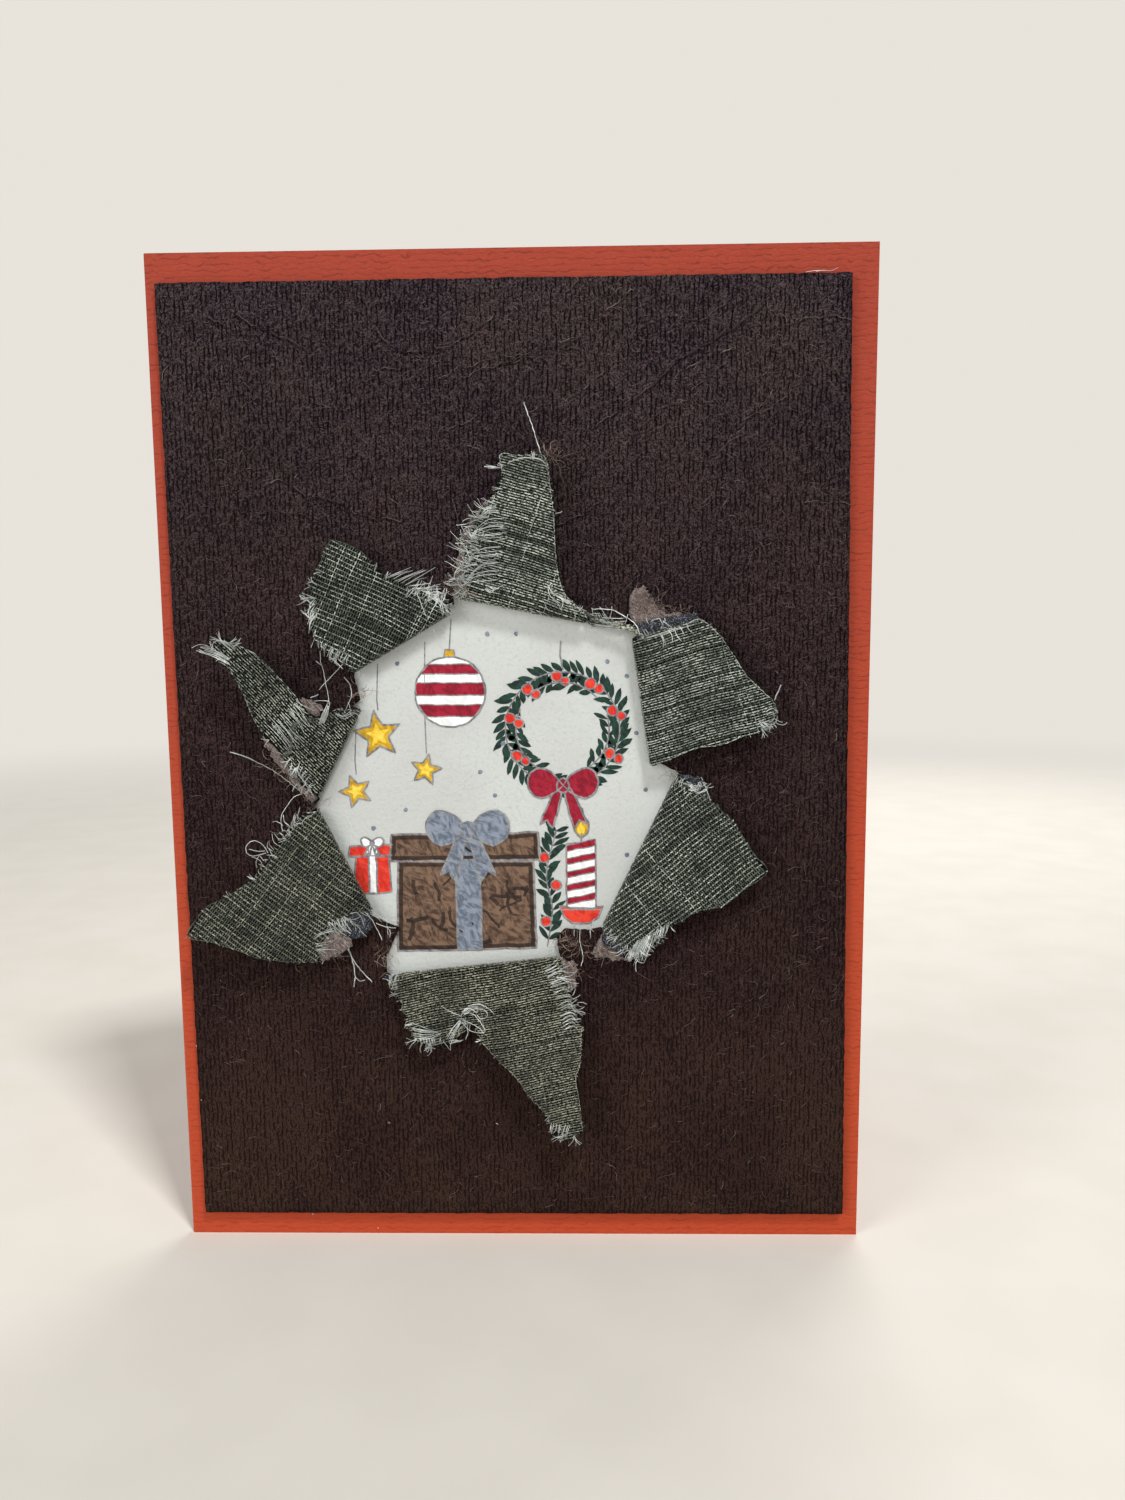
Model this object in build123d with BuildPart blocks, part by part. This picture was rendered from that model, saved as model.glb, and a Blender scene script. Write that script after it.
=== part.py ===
from build123d import *
from math import atan2, cos, degrees, hypot, radians, sin, tan
import os

# A greeting card that stands by itself: a folded red card, a sheet of watercolour paper glued
# to its front, and over that a fabric panel. The panel is cut like a star in the middle and its
# seven petals are folded out, which leaves a window on the paper.
# Millimetres. +Z is up, the front looks along -Y, the fold is at -X.

# The folded card
leaf_width = 148.0
leaf_height = 210.0
card_thickness = 0.30
fold_radius = 0.8
opening_angle = 34.0

# Red border that the fabric panel leaves free, by hand and a little out of square
border_left_top = 2.7
border_left_bottom = 3.7
border_right_top = 5.6
border_right_bottom = 3.4
border_top = 6.2
border_bottom = 5.6

# The sheet of watercolour paper under the panel
paper_thickness = 0.5
paper_inset = 2.0

# The laminated fabric and the roll that it makes where a petal is folded back
fabric_thickness = 1.2
roll_gap = 0.7
roll_tail = 1.5

# The woven back of the fabric, four threads of it to a ridge
thread_pitch = 0.84
threads_per_ridge = 4
ridge_width = 1.3
ridge_height = 0.3
ridge_margin = 0.6

# Middle of the window, seen from the middle of the front leaf
window_x = -3.5
window_z = -5.0

# Each petal: the two ends of its fold, in a clockwise order round the window, the angle at which
# it stands off the panel, and its torn edge from the second end of the fold back to the first.
# All points are measured from the middle of the window.
petals = {
    "top": {
        "fold": ((-8.8, 40.7), (17.0, 35.5)),
        "tilt": 4.0,
        "edge": [(13.6, 43.0), (12.4, 52.0), (12.3, 57.5), (10.9, 67.0), (9.8, 68.9), (1.7, 69.0),
                 (1.9, 65.8), (-0.8, 59.6), (-4.5, 55.5), (-6.7, 51.0), (-7.9, 43.5)],
    },
    "upper_right": {
        "fold": ((28.1, 32.1), (31.9, 5.6)),
        "tilt": 6.0,
        "edge": [(46.5, 8.4), (51.0, 11.5), (55.9, 12.8), (57.6, 16.4), (54.9, 20.8), (48.0, 29.5),
                 (41.5, 36.0), (34.5, 36.6), (33.3, 39.6), (27.6, 40.6)],
    },
    "lower_right": {
        "fold": ((37.6, 3.4), (22.4, -27.9)),
        "tilt": 5.0,
        "edge": [(23.6, -34.5), (27.8, -35.8), (32.0, -33.6), (37.0, -28.0), (47.4, -23.9),
                 (56.3, -17.0), (51.2, -9.7), (47.8, -5.0), (41.0, 1.8)],
    },
    "bottom": {
        "fold": ((12.4, -36.0), (-21.6, -39.6)),
        "tilt": 5.0,
        "edge": [(-24.3, -40.5), (-21.6, -44.7), (-18.2, -53.4), (-13.1, -54.6), (-10.3, -54.4),
                 (-8.0, -50.2), (-5.5, -53.6), (3.1, -62.0), (9.3, -69.5), (11.0, -75.0),
                 (13.9, -76.1), (17.2, -73.8), (16.4, -61.8), (17.2, -51.0), (13.8, -41.2)],
    },
    "lower_left": {
        "fold": ((-27.6, -25.6), (-38.3, -4.0)),
        "tilt": 5.0,
        "edge": [(-41.0, -5.0), (-46.9, -12.0), (-52.7, -18.4), (-62.6, -24.4), (-66.7, -30.3),
                 (-61.9, -31.6), (-52.1, -35.0), (-41.5, -36.1), (-38.7, -35.9), (-34.8, -27.8)],
    },
    "left": {
        "fold": ((-37.3, 0.7), (-28.9, 17.2)),
        "tilt": 7.0,
        "edge": [(-34.9, 17.9), (-41.5, 20.6), (-49.2, 29.2), (-57.1, 33.7), (-61.2, 29.9),
                 (-57.1, 28.6), (-52.7, 22.0), (-48.8, 12.6), (-45.8, 4.0), (-38.7, -1.6)],
    },
    "upper_left": {
        "fold": ((-29.5, 25.6), (-9.1, 37.6)),
        "tilt": 6.0,
        "edge": [(-10.2, 40.0), (-22.8, 45.0), (-25.1, 47.8), (-27.3, 50.3), (-31.7, 52.1),
                 (-35.3, 48.3), (-37.8, 41.3), (-37.7, 34.4), (-35.9, 30.5), (-33.5, 28.8)],
    },
}

# The cut edges between the petals, after each one's fold and before the next one's
gap_edges = {
    "top": [(19.6, 34.1), (27.0, 34.0)],
    "upper_right": [(37.0, 4.1)],
    "lower_right": [(20.7, -30.1), (13.2, -30.1), (11.8, -31.6)],
    "bottom": [(-25.0, -40.0), (-25.2, -37.1), (-21.9, -29.8)],
    "lower_left": [(-38.4, -1.7)],
    "left": [(-29.7, 22.0)],
    "upper_left": [(-8.7, 39.4)],
}

# The front face of the card, seen from the front: x to the right and y up from its middle.
front = Plane(origin=(0, 0, leaf_height / 2), x_dir=(1, 0, 0), z_dir=(0, -1, 0))
panel_back = front.offset(paper_thickness)
roll_radius = fabric_thickness + roll_gap / 2


def window_point(point):
    """Place on the front face of a point that is measured from the middle of the window."""
    return Vector(window_x + point[0], window_z + point[1])


def panel_outline(inset):
    """Four corners of the fabric panel, moved in by the inset."""
    left = -leaf_width / 2 + inset
    right = leaf_width / 2 - inset
    bottom = -leaf_height / 2 + border_bottom + inset
    top = leaf_height / 2 - border_top - inset
    return [
        (left + border_left_bottom, bottom),
        (right - border_right_bottom, bottom),
        (right - border_right_top, top),
        (left + border_left_top, top),
    ]


def fold_frame(petal):
    """Middle, half length, direction and outward normal of a petal's fold on the front face."""
    first, last = (window_point(end) for end in petal["fold"])
    along = (last - first).normalized()
    outward = Vector(-along.Y, along.X)
    return (first + last) / 2, (last - first).length / 2, along, outward


def to_world(point, height):
    """Point of the front face, raised over the back of the panel."""
    return panel_back.from_local_coords(Vector(point.X, point.Y, height))


def turned_to_world(direction):
    """Direction in the front face as a direction in space."""
    return front.from_local_coords(direction) - front.origin


# The roll of a fold in section: x away from the window, y out of the panel
def rolled_fold(petal):
    """Roll of fabric that carries a petal, with a tail that lies in the panel."""
    middle, half_length, along, outward = fold_frame(petal)
    section = Plane(
        origin=to_world(middle, 0),
        x_dir=turned_to_world(outward),
        z_dir=turned_to_world(outward).cross(Vector(0, -1, 0)),
    )
    tilt = petal["tilt"]
    centre = (roll_radius, roll_radius)
    with BuildPart() as roll:
        with BuildSketch(section):
            with BuildLine():
                outer = CenterArc(centre, roll_radius, 90 + tilt, 180 - tilt)
                inner = CenterArc(centre, roll_gap / 2, 90 + tilt, 180 - tilt)
                Line(outer @ 0, inner @ 0)
                Polyline(
                    outer @ 1,
                    (roll_radius + roll_tail, 0),
                    (roll_radius + roll_tail, fabric_thickness),
                    inner @ 1,
                )
            make_face()
        extrude(amount=half_length, both=True)
    return roll.part


def flap_plane(petal):
    """Upper face of a petal: x along its fold, y away from the window, from the roll's end."""
    middle, half_length, along, outward = fold_frame(petal)
    tilt = radians(petal["tilt"])
    start = middle + outward * roll_radius * (1 - sin(tilt))
    rise = turned_to_world(outward) * cos(tilt) + Vector(0, -1, 0) * sin(tilt)
    return Plane(
        origin=to_world(start, roll_radius * (1 + cos(tilt))),
        x_dir=turned_to_world(along),
        z_dir=turned_to_world(along).cross(rise),
    )


def flap_outline(petal):
    """Outline of a petal on its upper face, from one end of the fold round to the other."""
    middle, half_length, along, outward = fold_frame(petal)
    tilt = radians(petal["tilt"])
    start = roll_radius * (1 - sin(tilt))
    edge = []
    for point in petal["edge"]:
        arm = window_point(point) - middle
        edge.append((arm.dot(along), max((arm.dot(outward) - start) / cos(tilt), 0.2)))
    return [(-half_length, 0), (half_length, 0)] + edge


def petal_flap(petal):
    """Flat flap of a petal beyond its roll."""
    with BuildPart() as flap:
        with BuildSketch(flap_plane(petal)):
            with BuildLine():
                Polyline(*flap_outline(petal), close=True)
            make_face()
        extrude(amount=-fabric_thickness)
    return flap.part


def weave_ridges(petal):
    """Crossing ridges of the woven back on a petal, mirrored at the fold as the cloth is."""
    middle, half_length, along, outward = fold_frame(petal)
    outline = flap_outline(petal)
    pitch = thread_pitch * threads_per_ridge
    reach = max(hypot(*point) for point in outline)
    count = 2 * int(reach / pitch) + 1
    turn = degrees(atan2(along.Y, along.X))
    with BuildPart() as ridges:
        with BuildSketch(flap_plane(petal)):
            with Locations(Location((0, 0), turn)):
                with GridLocations(pitch, 0, count, 1):
                    Rectangle(ridge_width, 2 * reach)
                with GridLocations(0, pitch, 1, count):
                    Rectangle(2 * reach, ridge_width)
            with BuildSketch(mode=Mode.INTERSECT):
                with BuildLine():
                    Polyline(*outline, close=True)
                make_face()
                offset(amount=-ridge_margin, kind=Kind.INTERSECTION)
        extrude(amount=ridge_height)
    return ridges.part


# Folded card: one sheet bent round the fold at the left, with the back leaf behind
half_opening = radians(opening_angle / 2)
fold_x = -leaf_width / 2 - fold_radius * (1 / tan(half_opening) - 1)
leaf_run = leaf_width / 2 - fold_x
back_end = (
    fold_x + leaf_run * cos(radians(opening_angle)),
    leaf_run * sin(radians(opening_angle)),
)
with BuildPart() as card:
    with BuildSketch():
        with BuildLine():
            FilletPolyline((leaf_width / 2, 0), (fold_x, 0), back_end, radius=fold_radius)
            offset(amount=card_thickness, side=Side.RIGHT)
        make_face()
    extrude(amount=leaf_height)
card.part.label = "card"

# Sheet of watercolour paper between the card and the panel
with BuildPart() as picture_sheet:
    with BuildSketch(front):
        with BuildLine():
            Polyline(*panel_outline(paper_inset), close=True)
        make_face()
    extrude(amount=paper_thickness)
picture_sheet.part.label = "picture_sheet"

# Fabric panel: a plate with the star cut out of it, and the petals rolled back over it
window_edge = []
for name, petal in petals.items():
    middle, half_length, along, outward = fold_frame(petal)
    edge_line = middle + outward * roll_radius
    window_edge.append(edge_line - along * half_length)
    window_edge.append(edge_line + along * half_length)
    window_edge += [window_point(point) for point in gap_edges[name]]

folded_out = []
for petal in petals.values():
    folded_out.append(rolled_fold(petal))
    folded_out.append(petal_flap(petal))
    folded_out.append(weave_ridges(petal))

with BuildPart() as felt_panel:
    with BuildSketch(panel_back):
        with BuildLine():
            Polyline(*panel_outline(0), close=True)
        make_face()
        with BuildLine():
            Polyline(*window_edge, close=True)
        make_face(mode=Mode.SUBTRACT)
    extrude(amount=fabric_thickness)
    for piece in folded_out:
        add(piece)
felt_panel.part.label = "felt_panel"

# The origin is on the table, in the middle of the box round the standing card.
front_reach = felt_panel.part.bounding_box().min.Y
back_reach = card.part.bounding_box().max.Y
to_middle = Location((0, -(front_reach + back_reach) / 2, 0))

os.makedirs("parts", exist_ok=True)
for piece in (card, picture_sheet, felt_panel):
    piece.part.move(to_middle)
    export_step(piece.part, "parts/" + piece.part.label + ".step")
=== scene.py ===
import math

import bpy
import numpy as np
from mathutils import Matrix, Vector
from mathutils.geometry import delaunay_2d_cdt


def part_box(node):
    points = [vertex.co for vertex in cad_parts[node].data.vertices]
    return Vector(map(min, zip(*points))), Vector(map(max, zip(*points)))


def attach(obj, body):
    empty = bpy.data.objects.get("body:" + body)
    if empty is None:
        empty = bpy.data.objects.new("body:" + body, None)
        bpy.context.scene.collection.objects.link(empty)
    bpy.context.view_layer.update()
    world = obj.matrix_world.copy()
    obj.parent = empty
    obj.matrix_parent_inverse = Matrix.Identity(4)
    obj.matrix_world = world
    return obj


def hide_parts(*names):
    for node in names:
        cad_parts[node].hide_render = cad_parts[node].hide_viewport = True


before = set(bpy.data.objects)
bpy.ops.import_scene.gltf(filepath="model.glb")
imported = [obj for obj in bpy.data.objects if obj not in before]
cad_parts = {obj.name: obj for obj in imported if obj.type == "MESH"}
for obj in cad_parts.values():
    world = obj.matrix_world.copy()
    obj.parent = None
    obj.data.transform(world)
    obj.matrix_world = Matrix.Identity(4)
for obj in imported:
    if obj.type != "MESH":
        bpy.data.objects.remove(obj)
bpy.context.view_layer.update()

# The card stands on the floor with its front towards -Y. Most sizes here are in millimetres on
# the card's face: a to the right and b up from the middle of the torn window, h out of the face,
# from the back of the fabric panel. MM turns them into the frame's metres.
MM = 0.001
card_low, card_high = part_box("card")
sheet_low, sheet_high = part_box("picture_sheet")
felt_low, felt_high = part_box("felt_panel")

WINDOW = Vector((-3.5, -5.0)) * MM
WINDOW_X = (card_low.x + card_high.x) / 2 + WINDOW.x
WINDOW_Z = (card_low.z + card_high.z) / 2 + WINDOW.y
CARD_FRONT = sheet_high.y
PANEL_BACK = sheet_low.y

FABRIC = 1.2
ROLL_GAP = 0.7
ROLL_RADIUS = FABRIC + ROLL_GAP / 2

# Red border at the left and right of the panel, at its foot and at its top
LEFT_BORDER = (3.7, 2.7)
RIGHT_BORDER = (3.4, 5.6)

# Heights at which fringes that cross the panel, and what lies on a petal, are read
FRINGE_HEIGHT = 2.2
PETAL_TOP = 3.2

# Straight out of the card's face
OUTWARD = np.array([0, -1.0, 0])

# Spacing of the close-set level threads of the woven side and of its sparser upright ones
LEVEL_PITCH = 0.52
UPRIGHT_PITCH = 0.90

# The photograph's frame and its camera, seen from the middle of the card's lower front edge
PHOTO_SIZE = (1125, 1500)
FOCAL_PIXELS = 1126.0
CAMERA_PLACE = Vector((15.26, -235.84, 137.25)) * MM
CAMERA_PITCH = math.radians(-6.95)
CAMERA_YAW = math.radians(1.29)
CAMERA_ROLL = math.radians(-0.51)
SENSOR = 36.0


def camera_axes():
    """Right, up and forward of the camera."""
    forward = Vector((
        -math.sin(CAMERA_YAW) * math.cos(CAMERA_PITCH),
        math.cos(CAMERA_YAW) * math.cos(CAMERA_PITCH),
        math.sin(CAMERA_PITCH),
    ))
    level = Vector((math.cos(CAMERA_YAW), math.sin(CAMERA_YAW), 0))
    upright = level.cross(forward)
    right = level * math.cos(CAMERA_ROLL) + upright * math.sin(CAMERA_ROLL)
    up = upright * math.cos(CAMERA_ROLL) - level * math.sin(CAMERA_ROLL)
    return right, up, forward


def camera_position():
    """Place of the camera in the frame."""
    return Vector(((card_low.x + card_high.x) / 2, CARD_FRONT, card_low.z)) + CAMERA_PLACE


def photo_points(pixels, heights):
    """Places on the card's face, a and b, that show at these pixels and stand out by heights."""
    right, up, forward = (np.array(axis) for axis in camera_axes())
    eye = np.array(camera_position())
    pixels = np.asarray(pixels, float)
    across = (pixels[:, :1] - PHOTO_SIZE[0] / 2) / FOCAL_PIXELS
    down = (pixels[:, 1:2] - PHOTO_SIZE[1] / 2) / FOCAL_PIXELS
    rays = forward + right * across - up * down
    depth = (PANEL_BACK - np.asarray(heights, float) * MM - eye[1]) / rays[:, 1]
    hits = eye + rays * depth[:, None]
    return np.stack([hits[:, 0] - WINDOW_X, hits[:, 2] - WINDOW_Z], 1) / MM


def on_face(points, heights):
    """Places in the frame of points a, b on the card's face that stand out by heights."""
    points = np.asarray(points, float)
    heights = np.broadcast_to(np.asarray(heights, float), (len(points),))
    return np.stack([
        WINDOW_X + points[:, 0] * MM,
        PANEL_BACK - heights * MM,
        WINDOW_Z + points[:, 1] * MM,
    ], 1)


# Kinds of thread. The shaded pale one is a yellower, dimmer copy of the pale thread; its dimness
# is painted shade on the petals that use it.
PALE, DULL, SHADED_PALE, FLECKED = range(4)

# The petals, clockwise round the window. Fold: its two ends, in millimetres. Skew: degrees by
# which the threads turn from it. Tilt: degrees off the panel. Curl: how fast the petal bends
# further, in degrees a millimetre. Ripple: size of its waves. Girths and tones: of the level and
# of the upright threads. Even: share of the threads that keep the tone of their own set. Raised:
# how far the upright ones stand over the others. Opened: corners of a band where the upright
# threads have been pushed aside. Edge: the torn edge of the woven side from the second end of the
# fold round to the first, in pixels of the photograph, each with the length of the frayed ends
# there. Bare: patches beside the weave where it has come off, as a kind and an outline in pixels.
PETALS = {
    "top": {
        "fold": ((-8.8, 40.7), (17.0, 35.5)),
        "skew": 5.0, "tilt": 4.0, "curl": 0.05, "ripple": 0.35,
        "girths": (0.120, 0.072), "even": 0.9, "tones": (PALE, DULL), "raised": -0.01,
        "edge": [(588, 619, 0.8), (578, 607, 0.8), (567, 597, 0.6), (561, 586, 0.4),
                 (557, 565, 0.3), (555, 541, 0.3), (554, 513, 0.4), (550, 486, 0.4),
                 (547, 463, 0.8), (541, 454, 0.8), (520, 455, 0.5), (501, 454, 0.8),
                 (502, 470, 0.5), (497, 492, 0.9), (490, 503, 1.6), (479, 516, 2.6),
                 (473, 530, 3.0), (467, 546, 3.0), (465, 565, 3.0), (463, 584, 2.4),
                 (459, 597, 1.4)],
        "bare": [("felt", [(492, 500), (484, 503), (473, 516), (466, 529), (459, 546), (456, 570),
                           (454, 596), (470, 598), (476, 550), (486, 520)])],
    },
    "upper_right": {
        "fold": ((28.1, 32.1), (31.9, 5.6)),
        "skew": 0.5, "tilt": 6.0, "curl": 0.10, "ripple": 0.25,
        "girths": (0.108, 0.068), "even": 0.9, "tones": (PALE, DULL), "raised": -0.02,
        "edge": [(652, 765, 0.3), (675, 757, 0.3), (698, 748, 0.3), (721, 745, 0.3),
                 (744, 736, 0.4), (766, 731, 1.0), (777, 713, 0.8), (774, 702, 0.4),
                 (764, 692, 0.3), (747, 675, 0.3), (730, 649, 0.3), (715, 630, 0.4),
                 (699, 619, 0.5), (685, 624, 0.5), (667, 629, 0.6), (650, 634, 0.6),
                 (637, 640, 0.5)],
        "bare": [("coat", [(634, 624), (660, 618), (698, 613), (699, 622), (667, 633), (638, 641)]),
                 ("felt", [(632, 591), (644, 586), (650, 594), (655, 604), (664, 612), (681, 613),
                           (692, 615), (660, 621), (636, 626), (627, 612)])],
    },
    "lower_right": {
        "fold": ((37.6, 3.4), (22.4, -27.9)),
        "skew": 0.5, "tilt": 5.0, "curl": 0.08, "ripple": 0.25,
        "girths": (0.122, 0.114), "even": 0.93, "tones": (DULL, PALE), "raised": 0.04,
        "edge": [(604, 930, 1.0), (618, 942, 1.5), (632, 955, 2.0), (645, 952, 2.4),
                 (655, 943, 2.0), (666, 931, 1.0), (675, 924, 0.6), (698, 911, 0.5),
                 (725, 905, 0.5), (744, 890, 0.3), (768, 872, 0.4), (756, 856, 0.3),
                 (744, 838, 0.3), (728, 816, 0.4), (710, 801, 0.8), (695, 786, 1.2),
                 (680, 777, 1.0)],
        "bare": [("coat", [(601, 925), (616, 938), (632, 953), (620, 957), (603, 944)]),
                 ("felt", [(602, 934), (606, 946), (620, 956), (630, 961), (610, 960), (591, 954)]),
                 ("coat", [(680, 774), (700, 777), (708, 788), (709, 802), (693, 789)])],
    },
    "bottom": {
        "fold": ((12.4, -36.0), (-21.6, -39.6)),
        "skew": -1.0, "tilt": 5.0, "curl": 0.04, "ripple": 0.35,
        "girths": (0.112, 0.082), "even": 0.94, "tones": (SHADED_PALE, DULL), "raised": 0.01,
        "edge": [(400, 973, 0.8), (388, 981, 1.0), (400, 1001, 0.6), (411, 1028, 1.0),
                 (417, 1040, 1.5), (429, 1045, 1.5), (441, 1046, 1.5), (454, 1043, 1.5),
                 (462, 1030, 1.5), (466, 1021, 1.0), (476, 1026, 1.5), (480, 1042, 0.6),
                 (501, 1063, 0.3), (517, 1078, 0.3), (531, 1097, 0.4), (546, 1112, 0.5),
                 (554, 1130, 1.0), (567, 1140, 1.2), (583, 1131, 0.8), (580, 1106, 0.3),
                 (576, 1078, 0.3), (580, 1066, 0.4), (582, 1029, 0.8), (574, 1005, 1.5),
                 (566, 985, 2.0), (561, 965, 2.0)],
        "bare": [("felt", [(560, 958), (576, 962), (578, 985), (570, 996), (562, 980)]),
                 ("coat", [(384, 972), (400, 971), (398, 990), (389, 983)])],
    },
    "lower_left": {
        "fold": ((-27.6, -25.6), (-38.3, -4.0)),
        "skew": -0.5, "tilt": 5.0, "curl": 0.05, "ripple": 0.3,
        "girths": (0.122, 0.118), "even": 0.93, "tones": (DULL, SHADED_PALE), "raised": 0.015,
        "edge": [(316, 810, 0.8), (303, 818, 1.0), (289, 831, 1.1), (276, 851, 1.2),
                 (263, 868, 1.1), (250, 881, 0.8), (228, 896, 0.4), (205, 909, 0.3),
                 (187, 936, 0.4), (210, 942, 0.3), (240, 951, 0.3), (256, 957, 0.3),
                 (278, 961, 0.3), (306, 962, 0.6), (319, 961, 1.0), (318, 945, 1.5),
                 (331, 930, 2.0), (345, 920, 2.0), (360, 912, 1.5), (372, 908, 1.0)],
        "bare": [("coat", [(338, 922), (360, 911), (374, 909), (372, 930), (356, 939), (344, 935)]),
                 ("felt", [(328, 930), (346, 930), (352, 946), (338, 956), (322, 961), (314, 948)])],
    },
    "left": {
        "fold": ((-37.3, 0.7), (-28.9, 17.2)),
        "skew": 5.0, "tilt": 7.0, "curl": 0.12, "ripple": 0.5,
        "girths": (0.090, 0.072), "even": 1.0, "tones": (FLECKED, DULL), "raised": 0.03,
        "opened": [(297, 697), (265, 727), (322, 716), (298, 756)],
        "edge": [(360, 711, 0.5), (345, 709, 0.6), (333, 711, 0.4), (327, 716, 0.4),
                 (318, 719, 0.3), (308, 714, 0.4), (301, 704, 0.4), (296, 696, 0.5),
                 (281, 679, 0.4), (257, 655, 0.4), (234, 643, 0.8),
                 (222, 638, 1.0), (216, 645, 1.2), (214, 652, 1.2), (220, 660, 0.8),
                 (231, 669, 0.5), (242, 690, 0.4), (253, 719, 0.4), (263, 735, 0.6),
                 (278, 750, 1.0), (290, 768, 1.4), (303, 785, 1.4), (318, 795, 1.0)],
        "bare": [("felt", [(262, 735), (278, 748), (295, 768), (318, 797), (311, 805), (298, 789),
                           (278, 766), (265, 748)]),
                 ("felt", [(297, 697), (305, 699), (315, 702), (324, 708), (320, 716), (308, 715),
                           (302, 709), (300, 702)])],
    },
    "upper_left": {
        "fold": ((-29.5, 25.6), (-9.1, 37.6)),
        "skew": 3.0, "tilt": 6.0, "curl": 0.08, "ripple": 0.35,
        "girths": (0.112, 0.096), "even": 0.9, "tones": (DULL, PALE), "raised": 0.06,
        "edge": [(448, 613, 1.0), (445, 603, 1.8), (430, 596, 2.4), (412, 590, 2.4),
                 (396, 582, 2.0), (383, 577, 1.0), (371, 562, 0.4), (360, 550, 0.3),
                 (338, 541, 0.3), (329, 542, 0.4), (321, 560, 0.5), (314, 576, 0.8),
                 (310, 595, 1.4), (309, 614, 1.4), (312, 629, 0.8), (321, 648, 0.8),
                 (333, 656, 0.8), (346, 664, 0.8), (356, 671, 0.6)],
        "bare": [],
    },
}

# Cut edges of the panel between one petal's fold and the next one's, in pixels
GAP_EDGES = {
    "top": [(592, 627), (627, 628)],
    "upper_right": [(675, 771)],
    "lower_right": [(598, 930), (582, 931), (564, 930), (557, 938)],
    "bottom": [(387, 975), (385, 962), (392, 945), (399, 929)],
    "lower_left": [(318, 800)],
    "left": [(360, 700), (355, 687)],
    "upper_left": [(453, 604)],
}

# Creases in the panel, in pixels, with their depth in millimetres
CREASES = [
    (0.20, [(208, 318), (225, 328)]),
    (0.26, [(236, 317), (254, 327), (276, 336), (295, 345), (307, 350)]),
    (0.18, [(377, 334), (397, 351), (431, 353), (462, 341), (494, 318)]),
    (0.14, [(382, 371), (414, 369)]),
    (0.16, [(419, 393), (450, 375), (479, 365)]),
    (0.18, [(465, 380), (479, 372), (520, 362)]),
    (0.12, [(448, 432), (474, 420)]),
    (0.22, [(266, 485), (285, 483), (305, 497), (334, 502), (363, 517), (402, 522)]),
    (0.18, [(256, 515), (276, 513), (324, 520)]),
    (0.16, [(500, 358), (527, 356), (580, 338)]),
    (0.16, [(500, 366), (524, 359), (580, 349)]),
    (0.14, [(607, 313), (626, 297), (641, 284)]),
    (0.24, [(597, 427), (636, 400), (665, 376), (675, 364), (704, 347), (733, 330), (762, 308)]),
    (0.14, [(687, 371), (708, 359), (733, 349)]),
    (0.12, [(820, 303), (839, 289)]),
    (0.14, [(760, 410), (767, 402), (774, 391)]),
    (0.12, [(692, 392), (715, 374), (742, 347)]),
    (0.12, [(775, 332), (800, 322), (826, 318), (850, 320)]),
    (0.12, [(640, 430), (668, 408), (690, 402), (716, 404)]),
    (0.10, [(720, 452), (742, 436), (768, 440)]),
    (0.12, [(566, 402), (590, 386), (612, 366), (626, 360)]),
    (0.20, [(558, 526), (582, 516), (602, 502)]),
    (0.14, [(556, 545), (592, 547)]),
    (0.10, [(428, 488), (440, 478), (460, 469)]),
    (0.10, [(387, 497), (407, 514), (426, 509)]),
    (0.10, [(450, 497), (457, 521)]),
    (0.10, [(467, 446), (486, 456)]),
    (0.10, [(805, 503), (851, 505)]),
    (0.12, [(330, 560), (352, 575), (370, 560)]),
    (0.12, [(640, 330), (668, 318), (700, 322), (731, 300)]),
    (0.10, [(745, 420), (771, 409), (800, 385)]),
]


class Pile:
    """Vertices and faces of a piece, gathered before its mesh is made."""

    def __init__(self):
        self.points = []
        self.faces = []
        self.kinds = []
        self.count = 0

    def add(self, points, faces, kinds):
        """Add points and the faces between them, all of one material kind or each of its own."""
        self.points.append(np.asarray(points, float))
        self.faces += [[corner + self.count for corner in face] for face in faces]
        self.kinds += kinds if isinstance(kinds, list) else [kinds] * len(faces)
        self.count += len(points)

    def piece(self, name, materials, slot, smooth=True):
        """Make the piece, which rides on the card's one body."""
        mesh = bpy.data.meshes.new(name)
        mesh.from_pydata(np.concatenate(self.points).tolist(), [], self.faces)
        for material in materials:
            mesh.materials.append(material)
        mesh.polygons.foreach_set("material_index", self.kinds)
        mesh.polygons.foreach_set("use_smooth", [smooth] * len(mesh.polygons))
        mesh.update()
        thing = bpy.data.objects.new(name, mesh)
        bpy.context.collection.objects.link(thing)
        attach(thing, "root")
        return thing


def unit(vectors):
    """Vectors scaled to length one."""
    lengths = np.linalg.norm(vectors, axis=-1, keepdims=True)
    return vectors / np.maximum(lengths, 1e-12)


def tube(pile, path, normals, half_width, half_height, sides, kind):
    """Thread along a path in metres, flattened across the normals, with closed ends."""
    along = np.gradient(path, axis=0)
    side = unit(np.cross(along, normals))
    rise = unit(np.cross(side, along))
    turns = np.arange(sides) * 2 * math.pi / sides
    rings = path[:, None, :].copy()
    for axis, size, share in ((side, half_width, np.cos(turns)), (rise, half_height, np.sin(turns))):
        size = np.broadcast_to(np.asarray(size, float), (len(path),))[:, None, None]
        rings = rings + axis[:, None, :] * share[None, :, None] * size * MM
    corners = np.arange(sides)
    following = (corners + 1) % sides
    faces = []
    for here in range(0, (len(path) - 1) * sides, sides):
        there = here + sides
        walls = (corners + here, corners + there, following + there, following + here)
        faces += np.stack(walls, 1).tolist()
    last = (len(path) - 1) * sides
    faces += [corners.tolist(), (corners[::-1] + last).tolist()]
    pile.add(rings.reshape(-1, 3), faces, kind)


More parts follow.
